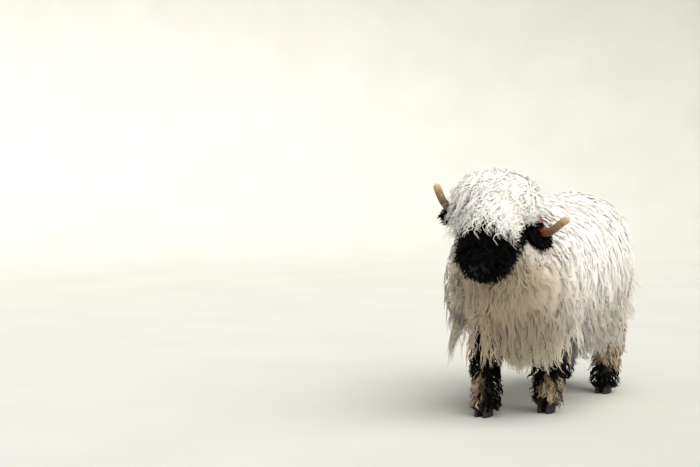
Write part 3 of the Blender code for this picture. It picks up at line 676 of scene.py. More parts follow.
def ball(bm, centre, radii, turned=Matrix.Identity(4), segments=24):
    """A ball or a squashed ball, which may be turned."""
    frame = Matrix.Translation(Vector(centre)) @ turned @ Matrix.Diagonal((*radii, 1))
    bmesh.ops.create_uvsphere(bm, u_segments=segments, v_segments=segments // 2, radius=1.0, matrix=frame)


# Wool

# Sizes of a kind of wool: staples to the square metre of skin, strands in a staple, radius of a staple at its
# root, length, height over the skin, a strand's half width and half thickness, wave height, how much higher
# the wave is at the tip, how far it leaves the coat's own surface, wave length, and steps of a strand
WOOL_SIZES = "density strands gather length height width thickness wave curl lift wavelength steps"
Wool = namedtuple("Wool", WOOL_SIZES)
FLEECE = Wool(2500, 4, 0.013, 0.110, 0.075, 0.0021, 0.0007, 0.0044, 0.4, 0.22, 0.028, 11)
CROWN = Wool(14500, 4, 0.009, 0.105, 0.058, 0.0020, 0.0008, 0.0080, 0.5, 0.6, 0.027, 15)
FACE_WOOL = Wool(7000, 4, 0.005, 0.070, 0.056, 0.0024, 0.0018, 0.0048, 0.3, 0.9, 0.020, 9)
EAR_WOOL = Wool(30000, 1, 0.0, 0.020, 0.007, 0.0024, 0.0014, 0.0016, 0.0, 0.6, 0.012, 5)
LEG_WOOL = Wool(3400, 4, 0.007, 0.062, 0.027, 0.0027, 0.0016, 0.0048, 0.3, 0.7, 0.024, 8)
TAIL_WOOL = Wool(3600, 4, 0.006, 0.090, 0.026, 0.0028, 0.0010, 0.0040, 0.4, 0.5, 0.034, 10)
FLEECE_MAT, CROWN_MAT = 0.0713, 0.0525  # height over the skin up to which the wool is too dense to see into
MAT_DIP = 0.20  # share by which the mat is lower in the hollows of neck and chest, to stay under the locks
FACE_ROOM, EAR_ROOM = 0.036, 0.010  # gap that the mats leave round the head, and round ears and tail
NECK_DENSER, TORSO_DENSER = 2.4, 1.5  # how many times closer the fleece grows there
THINNED, THINNED_ABOVE = 0.42, 0.50  # share of the torso's staples left out above this height
HANG_FROM, HANG = 0.56, 0.90  # below this height a staple is longer by this share of the way down from it
HALF_WIDTH, HALF_LENGTH, GIVE = 0.262, 0.615, 0.030  # reach of the fleece, and what it may go past that
OFF_FACE, OFF_CROWN, OFF_TAIL = 0.030, 0.004, 0.012  # gaps that the fleece keeps
OFF_HORNS, OFF_EARS = 0.006, 0.012
WISPS, WISP = 0.09, 1.12  # share of the crown's staples that stand out of its outline, and how far
CROWN_GAPS = ((1, 0.012, 0.030), (-1, 0.006, 0.016))  # what the crown keeps off left and right horn and ear
TEMPLE_OUT, TEMPLE_DOWN = 0.098, -0.012  # no lock of the crown reaches this far left and this low
EYE_BARE, NOSE_BARE = 0.017, 0.016  # radii of the patches without wool round an eye and at the nose
TAN_KEPT = 0.75  # share of the staples in a front leg's tan that are tan
FOOT_HEM = 0.016  # height of the lowest tips of the legs' wool over the ground
TURNED_OUT = 0.12  # share of what the hem takes off a lock by which it bends outwards instead
SECTION = 3  # corners of a strand's section
SOFTNESS = 0.85  # how far a strand's shading follows the coat instead of its own three sides
STEPS_A_WAVE = 3.4  # fewest steps in one wave: a longer strand has longer waves
BURIED = 0.2  # share of a strand that lies deep in the coat and takes one step
NODE_LIMIT = 195_000  # triangles of one coat piece


def tree_of(*forms):
    """The surface that locks lie over, for asking what is nearest."""
    bm = bmesh.new()
    for form in forms:
        loft(bm, form, 48, 56)
    bmesh.ops.recalc_face_normals(bm, faces=bm.faces)
    made = BVHTree.FromBMesh(bm)
    bm.free()
    return made


def nearest(tree, spots):
    """The nearest place of a surface to each spot, and which way it faces."""
    found = [tree.find_nearest(spot) for spot in spots.tolist()]
    return np.array([f[0] for f in found]), np.array([f[1] for f in found])


def grow_locks(tree, roots, out, pull, wool, lengths, heights, rise=0.3, hem=None, fullness=None):
    """The middle lines of locks and the way out of each of their points. A lock rises to its height, which
    fullness changes from place to place, lies over the surface along its pull and hangs free where that falls
    away."""
    spots, lines, outs = roots.copy(), [roots.copy()], [out.copy()]
    steps = wool.steps
    for i in range(1, steps + 1):
        share = i / steps
        along = unit(pull - out * np.minimum(0, dot(pull, out))[:, None])
        spots = spots + along * (lengths / steps)[:, None]
        place, facing = nearest(tree, spots)
        over = dot(spots - place, facing)
        lift = heights * min(1.0, share / rise) ** 0.7
        if fullness is not None:
            lift = lift * fullness(place, facing)
        low = over < lift
        spots[low] = (place + facing * lift[:, None])[low]
        out = np.where(low[:, None], facing, unit(out + facing * 0.3))
        lines.append(spots.copy())
        outs.append(out.copy())
    lines, outs = np.stack(lines, 1), np.stack(outs, 1)
    if hem is not None:
        short = np.maximum(hem[:, None] - lines[:, :, 2], 0)
        lines[:, :, 2] += short
        lines += outs * np.array((1, 1, 0)) * short[:, :, None] * TURNED_OUT
    return lines, outs


def across_lines(lines, outs):
    """Two directions at each point of a line: along the coat and square to the line, and out of the coat."""
    along = unit(np.gradient(lines, axis=1))
    side = unit(np.cross(along, outs))
    return side, np.cross(side, along)


def stapled(lines, outs, wool, draw):
    """The strands of each staple, apart at the root and closer at the tip, and the staple of each strand."""
    owner = np.repeat(np.arange(len(lines)), wool.strands)
    if wool.strands == 1:
        return lines, outs, owner
    side, through = across_lines(lines, outs)
    share = np.concatenate([[0], np.linspace(BURIED, 1, lines.shape[1] - 1)])
    ends = draw.uniform(0.72, 1.0, len(owner))  # some strands end short
    place = share * ends[:, None] * (lines.shape[1] - 1)
    i = np.minimum(place.astype(int), lines.shape[1] - 2)
    t = (place - i)[:, :, None]
    owned = owner[:, None]
    turn = draw.uniform(0, math.tau, len(owner))
    radius = wool.gather * np.sqrt(draw.uniform(0.05, 1, len(owner)))
    closing = 1 - 0.35 * ramp(share, 0.35, 1.0)
    tables = (lines, outs, side, through)
    strands, facing, beside, above = (a[owned, i] * (1 - t) + a[owned, i + 1] * t for a in tables)
    strands = strands + beside * np.outer(radius * np.cos(turn), closing)[:, :, None]
    strands = strands + above * np.outer(radius * np.sin(turn) * wool.lift, closing)[:, :, None]
    return strands, unit(facing), owner


def waved(lines, outs, owner, wool, draw):
    """The strands with the wave of their wool: those of a staple wave together, and neighbours nearly so."""
    side, through = across_lines(lines, outs)
    steps = np.linalg.norm(np.diff(lines, axis=1), axis=2)
    run = np.concatenate([np.zeros((len(lines), 1)), np.cumsum(steps, 1)], 1)
    staples = owner.max() + 1
    lag = np.sin(lines[:, 0] @ np.array((10.0, 6.0, 4.0))) * 3 + draw.normal(0, 0.9, staples)[owner]
    lag += draw.normal(0, 0.45, len(lines))
    wavelength = (wool.wavelength * draw.uniform(0.8, 1.25, staples))[owner]
    pace = math.tau / np.maximum(wavelength, STEPS_A_WAVE * run[:, -1] / wool.steps)
    angle = run * pace[:, None] + lag[:, None]
    high = (wool.wave * draw.uniform(0.6, 1.3, staples))[owner][:, None] * ramp(run, 0.01, 0.05)
    high = high * (1 + wool.curl * np.linspace(0, 1, lines.shape[1]) ** 2)
    lines = lines + side * (np.sin(angle) * high)[:, :, None]
    return lines + through * (np.cos(angle) * high * wool.lift)[:, :, None]


def lock_template(steps):
    """The faces of one lock, as corners of its own vertices, and where each corner lies on its patch."""
    corners, sizes, patch = [], [], []
    for i in range(steps - 1):
        for k in range(SECTION):
            n = (k + 1) % SECTION
            corners += [i * SECTION + k, (i + 1) * SECTION + k, (i + 1) * SECTION + n, i * SECTION + n]
            left, right, low, high = k / SECTION, (k + 1) / SECTION, i / steps, (i + 1) / steps
            patch += [(left, low), (left, high), (right, high), (right, low)]
            sizes.append(4)
    tip, last, low = steps * SECTION, (steps - 1) * SECTION, 1 - 1 / steps
    for k in range(SECTION):
        corners += [last + k, tip, last + (k + 1) % SECTION]
        patch += [(k / SECTION, low), ((k + 0.5) / SECTION, 1.0), ((k + 1) / SECTION, low)]
        sizes.append(3)
    corners += range(SECTION)
    patch += [(0.1, 0.05), (0.5, 0.0), (0.9, 0.0)]
    sizes.append(3)
    return np.array(corners), np.array(sizes), np.array(patch)


def wool_piece(name, wool, lines, outs, places, shade, tan, widths, draw):
    """One coat piece: every lock as a closed, tapered solid of three sides, joined in one mesh."""
    count, steps = len(lines), wool.steps
    side, through = across_lines(lines, outs)
    share = np.linspace(0, 1, steps + 1)[:-1]
    taper = (0.55 + 0.45 * ramp(share, 0, 0.3)) * (1 - 0.75 * ramp(share, 0.45, 1.0))
    spin = draw.uniform(0, math.tau, count)[:, None] + share * draw.uniform(-2, 2, count)[:, None] * 0.6
    spots = np.empty((count, steps * SECTION + 1, 3), np.float32)
    facing = np.empty_like(spots)
    for k in range(SECTION):
        turn = spin * 0.25 + math.tau * k / SECTION + math.pi / 2
        wide = widths[:, None] * taper
        thick = wide * wool.thickness / wool.width
        spots[:, k : steps * SECTION : SECTION] = (
            lines[:, :-1]
            + side[:, :-1] * (wide * np.cos(turn))[:, :, None]
            + through[:, :-1] * (thick * np.sin(turn))[:, :, None]
        )
        own = side[:, :-1] * np.cos(turn)[:, :, None] + through[:, :-1] * np.sin(turn)[:, :, None]
        facing[:, k : steps * SECTION : SECTION] = unit(own * (1 - SOFTNESS) + outs[:, :-1] * SOFTNESS)
    spots[:, -1], facing[:, -1] = lines[:, -1], outs[:, -1]
    corners, sizes, patch = lock_template(steps)
    mesh = bpy.data.meshes.new(name)
    mesh.vertices.add(count * spots.shape[1])
    mesh.vertices.foreach_set("co", spots.ravel())
    lock = np.arange(count)[:, None]
    mesh.loops.add(count * len(corners))
    mesh.loops.foreach_set("vertex_index", (corners + lock * spots.shape[1]).ravel().astype(np.int32))
    starts = np.concatenate([[0], np.cumsum(sizes)[:-1]])
    mesh.polygons.add(count * len(sizes))
    mesh.polygons.foreach_set("loop_start", (starts + lock * len(corners)).ravel().astype(np.int32))
    mesh.update(calc_edges=True)
    mesh.shade_smooth()
    mesh.normals_split_custom_set_from_vertices(facing.reshape(-1, 3))
    on_map = places[:, None] + (patch - 0.5) * BAKE_PATCH
    mesh.uv_layers.new(name=BAKE_MAP).data.foreach_set("uv", on_map.astype(np.float32).ravel())
    obj = bpy.data.objects.new(name, mesh)
    bpy.context.scene.collection.objects.link(obj)
    ring = np.repeat(share, SECTION)
    give(obj, "along", np.tile(np.concatenate([ring, [1.0]]), count))
    give(obj, "shade", np.repeat(shade, spots.shape[1]))
    give(obj, "tan", np.repeat(tan, spots.shape[1]))
    return obj


class Coat:
    """Gathers the locks of one kind of wool, and parts them into pieces under the limit of triangles."""

    def __init__(self, wool, seed):
        self.wool, self.draw = wool, np.random.default_rng(seed)
        self.rows = []

    def roots(self, form, span=(0.0, 1.0), sink=0.003, bare=None, denser=1.0):
        """Roots just under a form's skin: their shares along it, their places on the unwrap and in space, and
        the ways out. bare says which of them stay without wool."""
        share, turn = form.scatter(self.wool.density * denser, self.draw, span)
        out = form.outward(share, turn)
        roots, places = form.skin(share, turn) - out * sink, form.on_unwrap(share, turn)
        kept = slice(None) if bare is None else ~bare(roots)
        return share[kept], places[kept], roots[kept], out[kept]

    def add(self, lines, outs, places, tan=0.0):
        tan = np.broadcast_to(np.asarray(tan, float), (len(lines),))
        self.rows.append((lines, outs, places, tan))

    def pieces(self, name, material, slot):
        """The coat's pieces, with the strands of its staples, waved, toned and cut to their widths."""
        lines, outs, places, tan = (np.concatenate([row[i] for row in self.rows]) for i in range(4))
        lines, outs, owner = stapled(lines, outs, self.wool, self.draw)
        lines = waved(lines, outs, owner, self.wool, self.draw)
        spread = self.draw.normal(0, BAKE_PATCH / 2, (len(owner), 2))
        places = places[owner] + spread * (self.wool.strands > 1)
        tan = tan[owner]
        per_lock = 6 * (self.wool.steps - 1) + 4
        parts = max(1, math.ceil(len(lines) * per_lock / NODE_LIMIT))
        order = np.argsort(lines[:, 0, 1], kind="stable")
        tone = self.draw.beta(1.3, 2.2, owner[-1] + 1)[owner] + self.draw.normal(0, 0.08, len(owner))
        for i, chosen in enumerate(np.array_split(order, parts)):
            widths = self.wool.width * self.draw.uniform(0.65, 1.25, len(chosen))
            rows = (table[chosen] for table in (lines, outs, places, tone, tan))
            piece = wool_piece(f"{name}_{i + 1}" if parts > 1 else name, self.wool, *rows, widths, self.draw)
            dress(piece, material)
        print(name, len(lines), "locks,", len(lines) * per_lock, "triangles in", parts)


# Pieces


def length(name, description, default):
    return FloatProperty(name=name, description=description, default=default, unit="LENGTH")


def colour(name, description, default):
    shown = linear(default)[:3]
    return FloatVectorProperty(name=name, description=description, subtype="COLOR", default=shown)


class EweSettings(bpy.types.PropertyGroup):
    """What a user would change of the ewe and her studio."""

    fleece_length: length("Fleece length", "Length of a lock of the fleece", FLEECE.length)
    fleece_height: length("Fleece height", "Height of the wool over the skin", FLEECE.height)
    fleece_hem: length("Fleece hem", "Height of the lowest tips over the ground", 0.198)
    crown_length: length("Forelock length", "Length of a lock of the crown", CROWN.length)
    seed: IntProperty(name="Seed", description="First number of every random draw", default=7)
    wool_tip: colour("Wool tips", "Colour of the outer wool", "#FFFDF9")
    wool_root: colour("Wool roots", "Colour of the inner wool", "#F9F3E8")
    # The low wool's colour stands partly for dust and partly for painted shade on the underside
    wool_low_dust_and_shade: colour("Dusty wool", "Colour of the low, dusty wool", "#D8C5A0")
    black_root: colour("Black roots", "Colour of the inner black wool", "#050404")
    black_tip: colour("Black tips", "Colour of the bleached black tips", "#0C0908")
    floor_colour: colour("Floor", "Colour of the studio floor", "#C6C5BF")


TAIL_MARK = 0.56  # height down to which the tail's skin is black
TAIL_BLACK = 0.42  # share of the tail, from its root, with black wool
FLESH_NODES = ("torso", "neck", "head", "tail", "ear_left", "ear_right", *(f"leg_{name}" for name in FEET))
MOUTH_Z, MOUTH_BACK, MOUTH_FRONT, MOUTH_HALF = -0.0620, -0.180, -0.2385, 0.0420
NOSTRIL_AT, NOSE_AT = np.array((0.0185, -0.2365, -0.031)), np.array((0, -0.245, -0.045))
EYE_OUT, EYE_UP = -0.25, 0.12  # how far forward and up an eye looks, for 1 sideways
SOCKET_ROOM = 0.0004  # gap between an eye and the skin
BODY_VOXEL, HEAD_VOXEL, HOOF_VOXEL, MAT_VOXEL, CROWN_VOXEL = 0.0075, 0.0026, 0.0016, 0.0100, 0.0055
LIP_STEPS, LIP_RADIUS, LIP_APART = 16, 0.0048, 0.0052
LIGHTS = (  # name, kind, place, angle or width, power and colour
    ("key", "SUN", (3.2, -1.2, 4.8), math.radians(75), 4.9, "#FFFDF8"),
    ("fill", "AREA", (-3.6, -4.4, 2.6), 3.0, 40, "#F4F6FF"),
)
LIT_AT = Vector((0, 0, 0.5))  # where the lights point
CAMERA_AT, CAMERA_AHEAD = Vector((1.984, -4.575, 0.93)), Vector((-0.540, 0.842, 0))
CAMERA_DOWN = math.atan(63.5 / 1232)  # the picture's middle lies this far under the horizon


def mouth_path(height, inset=0.0, steps=LIP_STEPS):
    """Along the lips, from one corner of the mouth round the muzzle to the other."""
    turn = np.pi * (np.linspace(0, 1, steps + 1) - 0.5)
    x = (MOUTH_HALF - inset) * np.sin(turn)
    y = MOUTH_BACK - (MOUTH_BACK - MOUTH_FRONT - inset) * np.cos(turn) ** 0.8
    return np.stack([x, y, MOUTH_Z + height - 0.004 * np.cos(turn)], 1)


def eye_at(side):
    """The middle of one eye, in the head's own frame."""
    return EYE_AT * (side, 1, 1)


def eye_axes(side):
    """The ways out of, forward along and up along one eye, in the head's own frame."""
    outward = unit(np.array((side, EYE_OUT, EYE_UP)))
    forward = unit(-BACKWARD - outward * (outward @ -BACKWARD))
    upward = np.cross(forward, outward)
    return outward, forward, upward * np.sign(upward[2])


def lid_paths(side):
    """The middle lines and thicknesses of one eye's upper and lower lid, in the head's own frame."""
    outward, forward, upward = eye_axes(side)
    steps = np.linspace(0, math.pi, 15)
    for height, thick in ((0.62, 0.0050), (-0.50, 0.0040)):
        way = np.outer(np.cos(steps), forward) + np.outer(np.sin(steps), upward) * height + outward * 0.55
        yield eye_at(side) + unit(way) * (EYE_RADIUS + 0.0015), thick * (0.55 + 0.45 * np.sin(steps))


def cupped_ear(bm, side, sides_back=13, rings=28):
    """The ear as a shell, round behind and hollow in front."""
    form = EARS[side]
    back = np.radians(np.linspace(-82, 82, sides_back))
    loops = []
    for u in np.linspace(0, 1, rings):
        row = form.at(np.array([u]))[0]
        centre, across, upward, wide, thick = row[:3], row[3:6], row[6:9], row[9], row[10]
        behind = upward if upward @ FACING < 0 else -upward
        cup = wide * 0.62 * math.sin(math.pi * min(u + 0.12, 1)) ** 0.5 if u < 1 else 0.0
        outer = centre + np.outer(np.sin(back), across) * wide + np.outer(np.cos(back), behind) * cup
        depth = cup * np.cos(back) - thick * (0.5 + 0.5 * np.cos(back))
        inner = centre + np.outer(np.sin(back), across) * wide * 0.94 + np.outer(depth, behind)
        loops.append(np.concatenate([outer, inner[::-1]]))
    bridged(bm, loops)


class EWE_OT_skin(bpy.types.Operator):
    """Builds the one skin under all the wool, with the ears, lids, lips and nostrils"""

    bl_idname = "ewe.skin"
    bl_label = "Skin"

    def execute(self, context):
        body = remesh(lofted("skin", (TORSO, NECK, TAIL, *LEGS.values()), 40, 40), BODY_VOXEL, 6, 0.5)
        turned = HEAD_FRAME.to_3x3().to_4x4()
        bm = bmesh.new()
        loft(bm, HEAD, 60, 48)
        loft(bm, MOP, 40, 40)
        for side in (1, -1):
            cupped_ear(bm, side)
            brow = in_head(eye_at(side) + np.array((-0.010 * side, 0.004, 0.016)))
            ball(bm, brow, (0.020, 0.026, 0.012), turned)
            cheek = in_head([(0.040 * side, -0.060, -0.060)])[0]
            ball(bm, cheek, (0.026, 0.050, 0.030), turned)
            for path, thick in lid_paths(side):
                tube(bm, in_head(path), thick, 0.8)
        for height in (LIP_APART, -LIP_APART):
            tube(bm, in_head(mouth_path(height, 0.0025)), [LIP_RADIUS] * (LIP_STEPS + 1), 0.9)
        head = remesh(to_object("head_skin", bm), HEAD_VOXEL, 3, 0.4)
        self.carve(head)
        skin = boolean(body, head, "UNION")
        bm = bmesh.new()
        for side in (1, -1):
            ball(bm, in_head(eye_at(side)), [EYE_RADIUS + SOCKET_ROOM] * 3, segments=32)
        skin = boolean(skin, to_object("sockets", bm), "DIFFERENCE")
        skin.data.shade_smooth()
        self.mark(skin)
        dress(skin, finish(hide), FLESH_NODES)
        return {"FINISHED"}

    def carve(self, head):
        """Presses the mouth line, the nostrils and the philtrum into the muzzle."""
        spots = spots_of(head)
        local = seen_from(HEAD_FRAME, spots)
        normals = spots_of(head, "normal")
        depth = np.zeros(len(spots))
        near = local[:, 1] < -0.15
        path = mouth_path(0.0, steps=40)
        gap = np.min(np.linalg.norm(local[near][:, None] - path[None], axis=2), axis=1)
        depth[near] += 0.0050 * np.exp(-((gap / 0.0034) ** 2))
        for side in (1, -1):
            away = local - NOSTRIL_AT * (side, 1, 1)
            slant = away[:, 0] * side * 0.8 + away[:, 2] * 0.6
            across = away[:, 0] * side * 0.6 - away[:, 2] * 0.8
            reach = np.hypot(np.hypot(slant / 0.0095, across / 0.0042), away[:, 1] / 0.02)
            depth += 0.0095 * np.exp(-(reach**2))
            wing = np.hypot(slant / 0.0150, across / 0.0090)
            depth -= 0.0030 * np.exp(-((wing - 1.1) ** 2) * 6) * (np.abs(away[:, 1]) < 0.02)
        groove = (np.abs(local[:, 0]) < 0.01) & (local[:, 1] < -0.225) & (local[:, 2] < -0.034)
        depth += groove * 0.0022 * np.exp(-((local[:, 0] / 0.0026) ** 2))
        move_to(head, spots - normals * depth[:, None])

    def mark(self, skin):
        """Gives the skin the breed's marks: black head, ears and tail, black and tan legs."""
        spots = spots_of(skin)
        black, tan = np.zeros(len(spots)), np.zeros(len(spots))
        for form in (HEAD, *EARS.values()):
            black[form.holds(spots, 0.012)] = 1
        black[MOP.holds(spots, -MOP_INSET + 0.004)] = 0
        black[TAIL.holds(spots, 0.004) & (spots[:, 2] > TAIL_MARK)] = 1
        for name, form in LEGS.items():
            there = form.holds(spots, 0.004) & ~TORSO.holds(spots, -TORSO_INSET)
            dark, light = leg_marks(name, spots[there])
            black[there], tan[there] = dark, light
        give(skin, "black", black)
        give(skin, "tan", tan)


class EWE_OT_eyes(bpy.types.Operator):
    """Builds the two eyes, each with its level pupil"""

    bl_idname = "ewe.eyes"
    bl_label = "Eyes"

    def execute(self, context):
        for word, side in SIDES.items():
            bm = bmesh.new()
            ball(bm, in_head(eye_at(side)), [EYE_RADIUS] * 3, segments=64)
            eye = to_object(f"{word}_eye", bm)
            local = seen_from(HEAD_FRAME, spots_of(eye)) - eye_at(side)
            outward, forward, upward = eye_axes(side)
            level, high = local @ forward, local @ upward
            front = local @ outward > 0
            iris = EYE_RADIUS * 0.80
            give(eye, "iris", np.where(front, 1 - ramp(np.hypot(level, high), iris * 0.9, iris * 1.1), 0))
            slot = np.maximum(np.abs(level) / (iris * 0.60), np.abs(high) / (iris * 0.24))
            give(eye, "pupil", np.where(front, 1 - ramp(slot, 0.85, 1.15), 0))
            dress(eye, finish(eye_wet), (f"eye_{word}",))
        return {"FINISHED"}


class EWE_OT_horns(bpy.types.Operator):
    """Builds the two corkscrew horns with their growth rings"""

    bl_idname = "ewe.horns"
    bl_label = "Horns"

    def execute(self, context):
        rings, sides = 170, 28
        turns = np.arange(sides) * math.tau / sides
        ring_step = 0.0085  # one growth ring of a ewe's horn
        for word, side in SIDES.items():
            form = HORNS[side]
            bm = bmesh.new()
            loops, grooves, alongs = [], [], []
            for share in np.linspace(0, 1, rings):
                run = share * form.length / ring_step * (1 + 0.25 * share) + 0.25 * math.sin(share * 23)
                groove = (0.5 - 0.5 * math.cos(math.tau * run)) ** 2.5
                fade = 1 - 0.7 * ramp(share, 0.75, 0.98)
                girth = form.at(np.array([share]))[0, 9]
                close = girth * ramp(share, 0.97, 1.0) * 0.75
                keel = 0.06 * girth * np.cos(3 * turns + 0.6)
                grow = -0.0026 * groove * fade - close + 0.0006
                spots = form.surface(np.full(sides, share), turns, grow)
                centre = form.at(np.array([share]))[0, :3]
                spots += unit(spots - centre) * keel[:, None]
                loops.append(spots)
                grooves.append(np.full(sides, groove * fade))
                alongs.append(np.full(sides, share))
            bridged(bm, loops)
            horn_piece = to_object(f"{word}_horn", bm)
            give(horn_piece, "groove", np.concatenate(grooves))
            give(horn_piece, "along", np.concatenate(alongs))
            dress(horn_piece, finish(horn_keratin), (f"horn_{word}",))
        return {"FINISHED"}


class EWE_OT_hooves(bpy.types.Operator):
    """Builds the four cloven hooves, each of two claws on a soft heel"""

    bl_idname = "ewe.hooves"
    bl_label = "Hooves"

    def execute(self, context):
        for name, foot in FEET.items():
            bm = bmesh.new()
            for side in (-1, 1):
                self.claw(bm, foot, side)
            heel = np.array(SHIFT) + foot + np.array((0, 0.010, HOOF_HEIGHT * 0.80))
            ball(bm, heel, (0.027, 0.026, 0.016))
            hoof = to_object(f"{name}_hoof", bm)
            remesh(hoof, HOOF_VOXEL, 4, 0.5)
            spots = spots_of(hoof)
            spots[:, 2] = np.maximum(spots[:, 2], 0)
            move_to(hoof, spots)
            hoof.data.shade_smooth()
            dress(hoof, finish(hoof_keratin), (f"hoof_{name}",))
        return {"FINISHED"}

    def claw(self, bm, foot, side):
        """One claw: flat below, its wall sloping back from a blunt toe."""
        sides, half, length = 32, 0.0155, 0.036
        turns = np.arange(sides) * math.tau / sides
        at = np.array(SHIFT) + foot + np.array((0.0165 * side, -CLAW_BACK, 0))
        loops = []
        for height, scale, back in CLAW_LEVELS:
            x = half * scale * np.sign(np.cos(turns)) * np.abs(np.cos(turns)) ** 0.8
            y = length * scale * np.sin(turns)
            inner = np.where(x * side < 0, 0.85, 1.0)
            toe = np.where(y < 0, 1 - 0.30 * (np.abs(y) / length) ** 3, 1.0)
            loops.append(at + np.stack([x * inner * toe, y + back, np.full(sides, height)], 1))
        bridged(bm, loops)


def reined(values, start, room):
    """Values brought back softly, so that none goes further than room past start on either side."""
    size = np.abs(values)
    return np.sign(values) * (np.minimum(size, start) + room * np.tanh(np.maximum(size - start, 0) / room))


TO_HIP, TO_CHEST = (0.842, 0.540), (0.842, -0.540)  # ways outwards and back, and outwards and ahead


def fleece_fullness(roots, out):
    """The wool stands higher over the croup, on the sides of the chest and under the belly, lies closer on
    the hips, and is short round the ears, so that it doesn't bury them."""
    ears = np.concatenate([form.rows[::6, :3] for form in EARS.values()])
    to_ear = np.min(np.linalg.norm(roots[:, None] - ears[None], axis=2), axis=1)
    middle = np.clip(roots[:, 1], TORSO.rows[0, 1] + 0.2, TORSO.rows[-1, 1] - 0.2)
    around = unit(np.stack([np.abs(roots[:, 0]) + 0.01, roots[:, 1] - middle], 1))
    croup = ramp(out[:, 2], 0.3, 0.8) * ramp(roots[:, 1], 0.10, 0.32)
    hip = ramp(around @ TO_HIP, 0.86, 0.98) * ramp(roots[:, 1], 0.10, 0.25)
    chest = ramp(around @ TO_CHEST, 0.86, 0.98) * ramp(-roots[:, 2], -0.66, -0.46)
    belly = ramp(-out[:, 2], 0.2, 0.8)
    front = ramp(-roots[:, 1], 0.0, 0.2)
    full = 1 + 0.30 * croup - 0.25 * hip + 0.32 * chest * front + 0.40 * belly
    return full * (0.30 + 0.70 * ramp(to_ear, 0.04, 0.13))


def crown_fullness(roots, out):
    """The crown stands higher on her right, where it shows against the sky, and lower by the left horn."""
    to_left = seen_from(POLL_FRAME, roots)[:, 0]
    level = 1 - ramp(out[:, 2], 0.2, 0.7)
    return 1 + 0.30 * ramp(-to_left, 0.04, 0.11) * level - 0.60 * ramp(to_left, 0.05, 0.105)


class EWE_OT_mats(bpy.types.Operator):
    """Builds the dense inner wool of fleece and crown, which shows as a pale mat between the locks"""

    bl_idname = "ewe.mats"
    bl_label = "Inner wool"

    def execute(self, context):
        self.mat("fleece_mat", (TORSO, NECK), FLEECE_MAT, fleece_fullness, MAT_VOXEL)
        self.mat("crown_mat", (MOP,), CROWN_MAT, crown_fullness, CROWN_VOXEL)
        return {"FINISHED"}

    def mat(self, name, forms, height, fullness, voxel):
        """The skin of these forms, raised by the mat's height, and cut clear of face, ears and tail."""
        mat = remesh(lofted(name, forms, 40, 40), voxel, 4, 0.5)
        spots, normals = spots_of(mat), spots_of(mat, "normal")
        lower = 1 - MAT_DIP * ramp(-spots[:, 1], 0.20, 0.32) * (NECK in forms)
        move_to(mat, spots + normals * (height * lower * fullness(spots, normals))[:, None])
        remesh(mat, voxel, 6, 0.5)
        boolean(mat, lofted("face_room", (HEAD,), 30, 32, FACE_ROOM), "DIFFERENCE")
        for form in (*EARS.values(), TAIL):
            boolean(mat, lofted("room", (form,), 20, 20, EAR_ROOM), "DIFFERENCE")
        mat.data.shade_smooth()
        self.unwrap(mat, forms[0])
        give(mat, "along", np.full(len(mat.data.vertices), 0.3))
        give(mat, "shade", np.full(len(mat.data.vertices), 0.3))
        dress(mat, finish(cream_wool))

    def unwrap(self, mat, form):
        """Gives each corner its place on the unwrap of the skin below, with no face across the seam."""
        spots, mesh = spots_of(mat), mat.data
        rows = form.rows[::3]
        which = np.argmin(np.linalg.norm(spots[:, None] - rows[None, :, :3], axis=2), axis=1)
        away = spots - rows[which, :3]
        turn = np.arctan2(dot(away, rows[which, 6:9]), dot(away, rows[which, 3:6])) % math.tau
        share = which / (len(rows) - 1)
        verts = np.empty(len(mesh.loops), np.int32)
        mesh.loops.foreach_get("vertex_index", verts)
        sizes = np.empty(len(mesh.polygons), np.int32)
        mesh.polygons.foreach_get("loop_total", sizes)
        first = np.repeat(turn[verts[np.concatenate([[0], np.cumsum(sizes)[:-1]])]], sizes)
        near = first + (turn[verts] - first + math.pi) % math.tau - math.pi
        u, v, wide, high = form.tile
        places = np.stack([u + share[verts] * wide, v + np.clip(near / math.tau, 0, 1) * high], 1)
        mesh.uv_layers.new(name=BAKE_MAP).data.foreach_set("uv", places.astype(np.float32).ravel())


